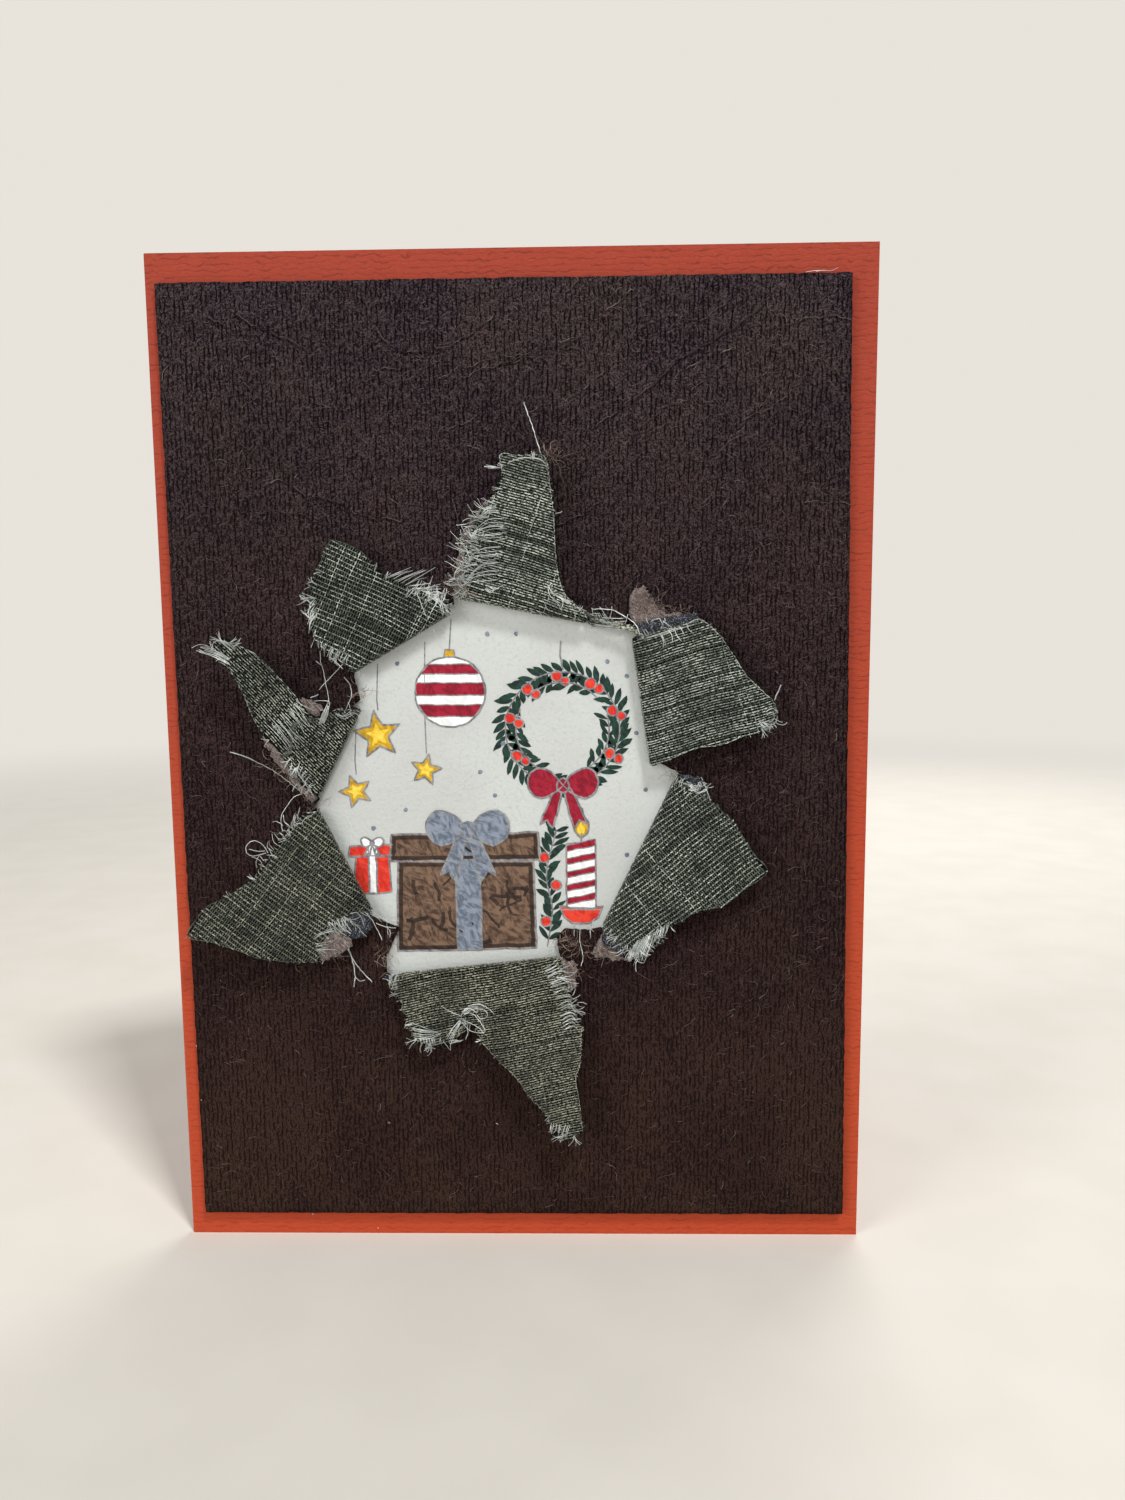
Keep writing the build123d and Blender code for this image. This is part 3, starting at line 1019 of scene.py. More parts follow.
def window_outline(petals):
    """Outline of the hole in the panel, behind the rolls and along the cut edges."""
    outline = []
    for petal in petals:
        line = petal.middle + petal.outward * (ROLL_RADIUS + 0.4)
        outline.append(line - petal.along * petal.half)
        outline.append(line + petal.along * petal.half)
        outline += list(photo_points(GAP_EDGES[petal.name], FABRIC))
    return np.array(outline)


def roughened(outline, step, amount, seed):
    """Outline cut into steps and made a little uneven, as shears and fingers leave cloth."""
    chance = np.random.default_rng(seed)
    points = resampled(outline, step)
    return points + chance.normal(0, amount, points.shape)


# Kinds of surface of the panel's cloth
FELT, GROUND, COAT, REVERSE = range(4)


def make_panel(petals, materials):
    """The fabric panel with its window and the seven petals folded out of it."""
    pile = Pile()
    outline = roughened(panel_corners(), 1.2, 0.06, 1)
    hole = roughened(window_outline(petals), 0.8, 0.10, 2)
    lines = crease_lines()
    offsets = [
        line + unit(np.gradient(line, axis=0))[:, ::-1] * (-side, side)
        for _, line in lines for side in (-0.5, -0.2, 0.05, 0.32, 0.6)
    ]
    points, triangles, rims = filled(outline, [hole], 0.85, np.concatenate(offsets))
    edge = np.zeros(len(points))
    edge[np.concatenate(rims)] = 0.22
    front = on_face(points, FABRIC + crease_relief(points, lines) - edge)
    plain, plain_triangles, plain_rims = filled(outline, [hole], 6.0)
    closed_plate(pile, front, triangles, rims, on_face(plain, 0.0), plain_triangles, plain_rims, FELT)
    for number, petal in enumerate(petals):
        outline, _ = petal.outline(0.4)
        cloth = roughened(spread_out(outline, 0.25), 0.8, 0.07, 10 + number)
        add_flap(pile, petal, cloth, 0.0, FABRIC - 0.1, GROUND)
        for order, (kind, pixels) in enumerate(petal.facts["bare"]):
            top, ragged, lift = (COAT, 0.12, 0.06) if kind == "coat" else (REVERSE, 0.26, -0.05)
            patch = roughened(petal.from_photo(pixels), 0.5, ragged, 40 + 5 * number + order)
            add_flap(pile, petal, patch, lift, 0.7, top)
    panel = pile.piece("felt_panel_cloth", materials, "brown_felt")
    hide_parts("felt_panel")


def add_flap(pile, petal, outline, lift, thickness, kind):
    """Closed piece of the cloth of a petal inside an outline of s and w."""
    points, triangles, _ = filled(outline, [], 0.9)
    s, way = points[:, 0], points[:, 1]
    front = petal.place(s, way, lift)
    back = petal.place(s, way, lift - thickness)
    closed_sheet(pile, front, back, anticlockwise(points, triangles), kind, FELT)


def crossings(outline, frays, origin, direction):
    """Stretches of a line inside an outline, as ways along it with the frays at both ends."""
    normal = np.array([-direction[1], direction[0]])
    ends = np.roll(outline, -1, axis=0)
    last = np.roll(frays, -1)
    side, other = (outline - origin) @ normal, (ends - origin) @ normal
    hits = []
    for k in np.nonzero((side > 0) != (other > 0))[0]:
        share = side[k] / (side[k] - other[k])
        point = outline[k] + (ends[k] - outline[k]) * share
        hits.append(((point - origin) @ direction, frays[k] + (last[k] - frays[k]) * share))
    hits.sort()
    return list(zip(hits[::2], hits[1::2]))


# The two sets of threads, how far they swing over and under each other, and the height of their
# middle over the cloth
LEVEL, UPRIGHT = range(2)
CRIMP = 0.085
THREAD_LIFT = 0.185


def weave(petal, materials):
    """Woven scrim on a petal: close-set level threads and sparser upright ones."""
    pile = Pile()
    chance = np.random.default_rng(100 + len(petal.name) + int(petal.half * 10))
    outline, frays = petal.outline(1.2)
    axes = petal.thread_axes()
    pitches = (LEVEL_PITCH, UPRIGHT_PITCH)
    for family in (LEVEL, UPRIGHT):
        run, across = axes[family], axes[1 - family]
        pitch, half = pitches[family], pitches[1 - family] / 2
        rows = outline @ across / pitch
        for row in range(math.ceil(rows.min()), int(rows.max()) + 1):
            origin = across * (row * pitch + chance.normal(0, 0.02))
            for (start, fray_start), (end, fray_end) in crossings(outline, frays, origin, run):
                if end - start < 2 * half:
                    continue
                ways = np.arange(math.ceil(start / half), math.floor(end / half) + 1)
                parity = (ways // 2 + row + family) % 2 * 2 - 1
                crimp = np.where(ways % 2 == 0, parity, 0) * CRIMP
                places = petal.pulled(origin + (ways * half)[:, None] * run)
                if family == UPRIGHT:
                    places = petal.gathered(places)
                places, crimp = with_ends(places, crimp, run, (fray_start, fray_end), chance)
                girth = petal.facts["girths"][family]
                widths = np.full(len(places), girth) * max(0.5, chance.normal(1, 0.13))
                widths *= chance.normal(1, 0.10, len(places))
                widths[[0, -1]] *= 0.4
                raised = petal.facts["raised"] * family
                lifts = THREAD_LIFT + raised + crimp
                toned = family if chance.random() < petal.facts["even"] else 1 - family
                kind = petal.facts["tones"][toned]
                lay(pile, petal, places, lifts, widths, widths * 0.6, 5, kind)
    add_edge_threads(pile, petal, outline, frays, chance)
    pile.piece("weave_" + petal.name, materials, "brown_felt")


def add_edge_threads(pile, petal, outline, frays, chance):
    """Threads bunched along the edge where it is torn clean."""
    clean = [k for k in range(2, len(outline)) if frays[k] <= 0.8]
    runs = []
    for k in clean:
        if runs and runs[-1][-1] == k - 1:
            runs[-1].append(k)
        else:
            runs.append([k])
    for run in runs:
        if len(run) < 2:
            continue
        line = smooth_path(outline[run], 0.45)
        line += unit(outline.mean(0) - line) * 0.08
        line += chance.normal(0, 0.05, line.shape)
        stops = [0, *np.cumsum(chance.integers(5, 16, len(line) // 5 + 1)), len(line)]
        for first, last in zip(stops[:-1], stops[1:]):
            part = line[first:min(last + 1, len(line))]
            if len(part) < 3:
                continue
            width = np.full(len(part), chance.uniform(0.06, 0.10)) * chance.normal(1, 0.15, len(part))
            width[[0, -1]] *= 0.5
            lift = 0.25 + chance.uniform(-0.03, 0.04)
            lay(pile, petal, part, lift, width, width * 0.8, 5, petal.facts["tones"][LEVEL])


def with_ends(places, crimp, run, frays, chance):
    """Thread with its frayed ends, which run on past the edge and turn a little aside."""
    for sign, fray in ((-1, frays[0]), (1, frays[1])):
        length = (fray + 0.1) * chance.uniform(0.1, 1.1)
        if length < 0.12 or len(places) == 0:
            continue
        heading = math.atan2(run[1], run[0]) + (math.pi if sign < 0 else 0)
        here = places[0] if sign < 0 else places[-1]
        rise = chance.normal(0.0, 0.12)
        bend = chance.normal(0, 0.35)
        steps = 3
        extra, lifts = [], []
        for step in range(steps):
            heading += bend
            here = here + np.array([math.cos(heading), math.sin(heading)]) * length / steps
            extra.append(here)
            lifts.append(rise * (step + 1))
        if sign < 0:
            places = np.concatenate([extra[::-1], places])
            crimp = np.concatenate([lifts[::-1], crimp])
        else:
            places = np.concatenate([places, extra])
            crimp = np.concatenate([crimp, lifts])
    return places, crimp


def thread_materials():
    """Materials of the four kinds of thread."""
    pale = thread_material("pale_thread", colour(44, 49, 40), colour(206, 214, 202), 0.45)
    dull = thread_material("dull_thread", colour(28, 32, 26), colour(104, 110, 98), 0.6)
    # A yellower, dimmer copy of the pale thread: the dimness is painted shade on the petals that use it.
    shade_dimmed = thread_material("worn_thread", colour(46, 46, 36), colour(180, 179, 159), 0.45)
    flecked = thread_material("flecked_thread", colour(32, 35, 28), colour(196, 201, 187), 0.56, 0.07)
    return [pale, dull, shade_dimmed, flecked]


# Kinds of loose fibre. In tangles each has a largest rise, a curl, and least and most half width.
WHITE, TAN = range(2)
TANGLE_FIBRES = {WHITE: (0.6, 0.22, (0.04, 0.085)), TAN: (0.4, 0.4, (0.025, 0.05))}


def strand(start, heading, length, lift, rise, chance, curl=0.5, step=0.4):
    """Fibre that wanders over a surface: points on it and their lifts."""
    steps = max(3, int(length / step))
    turns = chance.normal(0, curl, steps) + chance.normal(0, curl * 0.5)
    headings = heading + np.cumsum(turns)
    moves = np.stack([np.cos(headings), np.sin(headings)], 1) * length / steps
    points = np.concatenate([[start], start + np.cumsum(moves, axis=0)])
    share = np.linspace(0, 1, steps + 1)
    lifts = lift + rise * np.sin(share * math.pi * chance.uniform(0.4, 1.1))
    return points, lifts + np.concatenate([[0], chance.normal(0, 0.05, steps)])


def fray_edge(pile, petal, chance):
    """White fibres along the torn edge of a petal, thicker where it is more frayed."""
    outline, frays = petal.outline(1.2)
    middle = outline.mean(0)
    edges = zip(outline[1:-1], outline[2:], frays[1:-1], frays[2:])
    for start, end, first, last in edges:
        run = end - start
        away = np.array([run[1], -run[0]])
        if away @ ((start + end) / 2 - middle) < 0:
            away = -away
        facing = math.atan2(away[1], away[0])
        amount = max((first + last) / 2 - 0.55, 0)
        outward = away / np.linalg.norm(away)
        course = max((axis * side for axis in petal.thread_axes() for side in (-1, 1)),
                     key=lambda axis: axis @ outward)
        for _ in range(int(np.linalg.norm(run) * 0.5 * amount ** 0.6 + chance.uniform())):
            share = chance.uniform()
            fray = first + (last - first) * share
            inward = outward * chance.uniform(0, 0.4 + 0.8 * fray)
            lean = math.atan2(course[1], course[0]) + chance.normal(0, 0.22)
            if chance.uniform() < 0.12:
                lean = facing + chance.normal(0, 0.9)
            reach = 0.6 + fray * chance.uniform(0.7, 1.7)
            for _ in range(chance.integers(2, 5)):
                root = start + run * share - inward + chance.normal(0, 0.12, 2)
                points, lifts = strand(root, lean + chance.normal(0, 0.14), reach, 0.32,
                                       chance.normal(0.15, 0.35), chance, 0.16, 0.45)
                width = chance.uniform(0.03, 0.06)
                lay(pile, petal, points, lifts, width, width, 4, WHITE)


# Tangles of loose fibres: petal or panel, kind, middle in pixels, spread and length in
# millimetres, count, and the direction they lean in degrees, or none
TANGLES = [
    ("top", WHITE, (483, 528), (2.0, 2.6), 3.2, 7, 190),
    ("top", WHITE, (474, 556), (1.6, 4.0), 3.6, 10, 185),
    ("top", WHITE, (470, 584), (1.5, 2.2), 2.6, 4, 190),
    ("top", WHITE, (494, 500), (0.6, 1.6), 1.4, 2, 250),
    ("top", WHITE, (556, 598), (2.2, 1.6), 2.2, 4, 330),
    ("top", TAN, (553, 457), (1.5, 1.2), 2.4, 24, None),
    ("top", TAN, (461, 575), (0.8, 3.0), 3.4, 19, 255),
    ("top", WHITE, (495, 468), (0.8, 0.6), 2.6, 1, 185),
    ("upper_left", WHITE, (418, 600), (2.8, 1.2), 2.4, 7, 60),
    ("upper_left", WHITE, (440, 604), (1.6, 1.6), 2.6, 5, 20),
    ("upper_left", WHITE, (312, 606), (0.8, 2.6), 1.8, 4, 190),
    ("upper_left", WHITE, (330, 655), (2.2, 1.0), 2.4, 2, 250),
    ("left", WHITE, (311, 706), (3.2, 1.4), 2.6, 6, 25),
    ("left", WHITE, (212, 646), (1.2, 1.6), 2.8, 3, 150),
    ("left", WHITE, (298, 784), (2.0, 2.0), 2.2, 3, 230),
    ("left", TAN, (287, 765), (3.0, 3.0), 2.8, 24, 220),
    ("left", WHITE, (345, 716), (1.8, 1.2), 2.2, 2, None),
    ("lower_left", WHITE, (292, 828), (3.0, 1.8), 2.4, 7, 110),
    ("lower_left", WHITE, (268, 862), (2.0, 2.2), 2.8, 5, 150),
    ("lower_left", WHITE, (342, 925), (3.0, 1.8), 2.6, 7, 290),
    ("lower_left", WHITE, (366, 912), (1.6, 1.0), 2.4, 4, 320),
    ("lower_left", TAN, (330, 948), (2.6, 1.6), 3.0, 24, 280),
    ("bottom", WHITE, (434, 1042), (3.4, 1.0), 2.0, 6, 260),
    ("bottom", WHITE, (470, 1024), (1.6, 1.4), 3.4, 6, None),
    ("bottom", WHITE, (574, 1000), (0.9, 3.6), 2.0, 5, 0),
    ("bottom", WHITE, (566, 1134), (1.8, 0.8), 1.6, 2, 270),
    ("bottom", TAN, (570, 975), (1.4, 2.0), 2.4, 17, 0),
    ("bottom", WHITE, (398, 985), (1.0, 1.6), 1.6, 2, 200),
    ("lower_right", WHITE, (634, 946), (3.0, 1.8), 2.4, 8, 260),
    ("lower_right", WHITE, (655, 938), (1.6, 1.2), 2.2, 4, 300),
    ("lower_right", WHITE, (697, 786), (2.4, 1.2), 0.9, 41, None),
    ("lower_right", TAN, (606, 950), (2.2, 0.9), 2.6, 19, 250),
    ("upper_right", WHITE, (662, 626), (4.2, 1.2), 2.2, 9, 80),
    ("upper_right", WHITE, (694, 620), (1.4, 0.9), 2.0, 3, 60),
    ("upper_right", WHITE, (772, 724), (1.0, 1.8), 2.0, 4, 330),
    ("upper_right", TAN, (648, 605), (2.6, 2.0), 2.8, 28, 70),
    ("upper_right", TAN, (676, 616), (3.0, 0.8), 2.6, 19, 80),
    ("panel", WHITE, (601, 620), (2.8, 1.2), 2.4, 8, None),
    ("panel", WHITE, (628, 626), (2.4, 1.2), 2.6, 8, None),
    ("panel", WHITE, (454, 603), (1.2, 1.6), 2.6, 4, None),
    ("panel", WHITE, (581, 924), (3.4, 1.2), 1.8, 4, None),
    ("panel", TAN, (572, 944), (3.2, 2.2), 3.0, 36, None),
    ("panel", TAN, (388, 956), (1.4, 3.2), 2.6, 24, None),
    ("panel", WHITE, (382, 920), (2.0, 1.4), 3.2, 4, 330),
    ("panel", TAN, (316, 806), (1.6, 2.0), 2.8, 19, None),
    ("panel", TAN, (358, 694), (1.2, 2.2), 2.6, 19, None),
    ("panel", TAN, (452, 590), (1.4, 2.2), 3.0, 24, None),
    ("panel", TAN, (672, 776), (1.6, 1.2), 2.2, 12, None),
]


def fray_tangles(piles, chance):
    """Loose fibres in tangles on the petals and beside them."""
    for owner, kind, middle, spread, length, count, lean in TANGLES:
        most_rise, curl, girths = TANGLE_FIBRES[kind]
        top, lift = PETAL_TOP, 2 * ROLL_RADIUS + 0.35
        if owner == "panel":
            top, lift = FABRIC, FABRIC + 0.25
        centre = photo_points([middle], top)[0]
        for _ in range(count):
            root = centre + chance.normal(0, 0.55, 2) * spread
            heading = chance.uniform(0, 2 * math.pi)
            if lean is not None:
                heading = math.radians(lean) + chance.normal(0, 0.45)
            reach = length * chance.uniform(0.5, 1.5)
            rise = chance.uniform(0.0, most_rise)
            points, lifts = strand(root, heading, reach, lift, rise, chance, curl, 0.45)
            width = chance.uniform(*girths)
            lay(piles[owner], FRONT, points, lifts, width, width, 4, kind)


# Single loose threads: kind, radius in millimetres, and points as pixels with their height
LOOSE_THREADS = [
    (WHITE, 0.09, [(524, 402, 1.5), (527, 412, 1.9), (531.5, 424, 2.2), (541, 454, 4.2)]),
    (WHITE, 0.11, [(488, 468, 2.6), (502, 467, 4.6), (512, 461, 5.4), (522, 458, 5.6),
                   (534, 458, 5.5), (543, 461, 5.2), (547, 466, 4.6)]),
    (WHITE, 0.08, [(486, 465, 2.2), (492, 466, 2.9), (501, 468, 3.9)]),
    (WHITE, 0.09, [(552, 513, 4.0), (558, 513, 3.2), (562, 511, 2.4)]),
    (TAN, 0.06, [(467, 530, 3.4), (461, 545, 2.9), (458, 558, 2.2), (450, 568, 1.6), (445, 566, 1.5)]),
    (WHITE, 0.05, [(490, 503, 4.2), (473, 519, 3.6), (469, 530, 3.2)]),
    (WHITE, 0.07, [(320, 651, 3.3), (321, 662, 2.4), (324, 674, 2.0), (328, 695, 2.6),
                   (329, 704, 3.6)]),
    (WHITE, 0.07, [(316, 661, 2.6), (321, 665, 2.4)]),
    (WHITE, 0.07, [(347, 659, 3.2), (331, 677, 2.2), (325, 683, 2.0), (319, 690, 2.2)]),
    (WHITE, 0.06, [(344, 677, 2.0), (350, 685, 2.1), (351, 697, 2.4), (344, 713, 3.6)]),
    (WHITE, 0.11, [(230, 752, 1.4), (241, 755, 1.5), (253, 760, 1.7)]),
    (WHITE, 0.07, [(252, 760, 1.7), (265, 766, 2.0), (281, 776, 2.6), (301, 792, 3.2)]),
    (WHITE, 0.07, [(302, 794, 3.0), (294, 797, 2.5), (288, 805, 2.0), (282, 814, 1.9),
                   (281, 822, 2.0), (283, 832, 3.0)]),
    (WHITE, 0.08, [(268, 853, 3.6), (264, 846, 2.6), (256, 841, 2.1), (250, 842, 1.9),
                   (246, 847, 1.9), (247, 853, 2.1), (252, 856, 2.6), (259, 855, 3.2), (266, 853, 3.7)]),
    (WHITE, 0.06, [(252, 857, 2.6), (258, 859, 3.2), (262, 863, 3.7)]),
    (WHITE, 0.06, [(257, 868, 3.4), (256, 862, 3.0), (259, 856, 3.0), (264, 861, 3.6)]),
    (WHITE, 0.11, [(342, 927, 3.6), (347, 946, 2.4), (353, 962, 1.8), (355, 977, 1.6),
                   (354, 987, 1.6)]),
    (WHITE, 0.10, [(347, 935, 3.4), (350, 953, 2.2), (359, 968, 1.7), (372, 982, 1.6)]),
    (WHITE, 0.06, [(355, 977, 1.6), (360, 981, 1.6), (365, 980, 1.7)]),
    (WHITE, 0.11, [(335, 927, 3.7), (333, 942, 3.2), (328, 953, 2.6), (322, 964, 2.2)]),
    (WHITE, 0.06, [(317, 943, 3.6), (319, 953, 3.0), (320, 962, 2.4)]),
    (WHITE, 0.08, [(367, 913, 3.6), (375, 925, 2.4), (382, 940, 1.7)]),
    (WHITE, 0.06, [(370, 912, 3.3), (382, 918, 2.4), (398, 925, 1.8)]),
    (WHITE, 0.06, [(372, 915, 3.2), (386, 919, 2.4), (399, 921, 1.8)]),
    (WHITE, 0.06, [(376, 923, 2.8), (386, 927, 2.2), (396, 928, 1.8)]),
    (WHITE, 0.06, [(350, 914, 3.9), (357, 913, 3.9), (363, 921, 3.7), (365, 931, 2.9)]),
    (WHITE, 0.06, [(344, 925, 3.8), (352, 932, 3.4), (364, 936, 2.4)]),
    (WHITE, 0.07, [(701, 777, 3.2), (704, 784, 3.6), (708, 793, 3.9), (711, 803, 3.8)]),
    (WHITE, 0.10, [(781, 685, 1.6), (777, 694, 2.2), (773, 703, 3.6), (767, 715, 6.4)]),
    (WHITE, 0.09, [(766, 712, 6.6), (772, 708, 6.6), (777, 713, 6.2), (776, 721, 6.0),
                   (771, 725, 6.2), (766, 723, 6.5)]),
    (WHITE, 0.07, [(768, 714, 6.7), (773, 712, 6.6), (774, 719, 6.4), (769, 722, 6.6)]),
    (WHITE, 0.08, [(757, 725, 6.2), (762, 722, 6.5), (767, 726, 6.4), (770, 731, 5.8)]),
    (WHITE, 0.10, [(592, 609, 2.4), (605, 609, 3.2), (615, 611, 3.6), (629, 619, 4.0),
                   (636, 625, 4.1), (640, 634, 3.9)]),
    (WHITE, 0.07, [(580, 925, 1.9), (580, 942, 2.0), (583, 956, 2.2), (581, 966, 3.2)]),
    (WHITE, 0.07, [(441, 1006, 4.2), (451, 1012, 4.3), (461, 1016, 4.4)]),
    (WHITE, 0.09, [(461, 1016, 4.4), (464, 1010, 4.6), (471, 1009, 4.6), (477, 1013, 4.5)]),
    (WHITE, 0.08, [(462, 1022, 4.4), (469, 1030, 4.5), (482, 1033, 4.4), (485, 1029, 4.5),
                   (477, 1018, 4.7), (471, 1013, 4.6), (464, 1014, 4.5)]),
    (WHITE, 0.07, [(463, 1020, 4.5), (472, 1024, 4.7), (480, 1029, 4.6), (484, 1034, 4.4)]),
    (WHITE, 0.07, [(477, 1011, 4.6), (481, 1009, 4.8), (487, 1012, 4.7), (487, 1017, 4.6),
                   (481, 1019, 4.7), (477, 1015, 4.6)]),
    (WHITE, 0.07, [(468, 1006, 4.3), (478, 1004, 4.6), (488, 1008, 4.7), (494, 1014, 4.4)]),
    (WHITE, 0.08, [(547, 584, 3.6), (552, 592, 3.9), (560, 598, 3.7), (570, 604, 3.4)]),
    (WHITE, 0.07, [(552, 583, 3.7), (548, 588, 3.9), (551, 597, 3.8), (560, 603, 3.6)]),
    (WHITE, 0.09, [(550, 592, 3.6), (565, 600, 3.6), (584, 612, 3.0)]),
    (WHITE, 0.08, [(417, 593, 4.6), (424, 611, 3.9), (430, 624, 2.2), (436, 634, 1.0)]),
    (WHITE, 0.06, [(304, 590, 2.6), (309, 587, 3.4), (314, 588, 4.4)]),
    (WHITE, 0.06, [(297, 605, 2.2), (304, 602, 3.4), (310, 597, 4.6)]),
    (WHITE, 0.06, [(311, 648, 2.4), (314, 640, 3.2), (315, 632, 4.2)]),
    (WHITE, 0.07, [(343, 669, 3.2), (338, 664, 3.4), (330, 657, 4.0)]),
    (WHITE, 0.05, [(806, 272, 1.2), (814, 270.8, 1.3), (822, 270.4, 1.3)]),
    (WHITE, 0.05, [(816, 271.4, 1.2), (823, 270.2, 1.36), (829, 270.6, 1.3)]),
    (WHITE, 0.05, [(829, 271, 1.2), (834, 269.6, 1.36), (838, 267.6, 1.3)]),
    (WHITE, 0.10, [(312.4, 1213.4, 1.2), (313.2, 1214.6, 1.3)]),
    (WHITE, 0.07, [(196, 1045.4, 1.3), (196.6, 1046.6, 1.3)]),
    (WHITE, 0.07, [(201, 1099.4, 1.3), (201.6, 1100.6, 1.3)]),
    (WHITE, 0.06, [(377.6, 1227.4, 1.2), (378.4, 1228.4, 1.3)]),
    (WHITE, 0.06, [(388, 1122, 1.35), (390, 1123.4, 1.4)]),
    (WHITE, 0.06, [(496, 1123.4, 1.35), (498, 1124.2, 1.4)]),
    (TAN, 0.07, [(188, 936, 2.0), (184, 939, 1.7), (181, 941, 1.5)]),
]


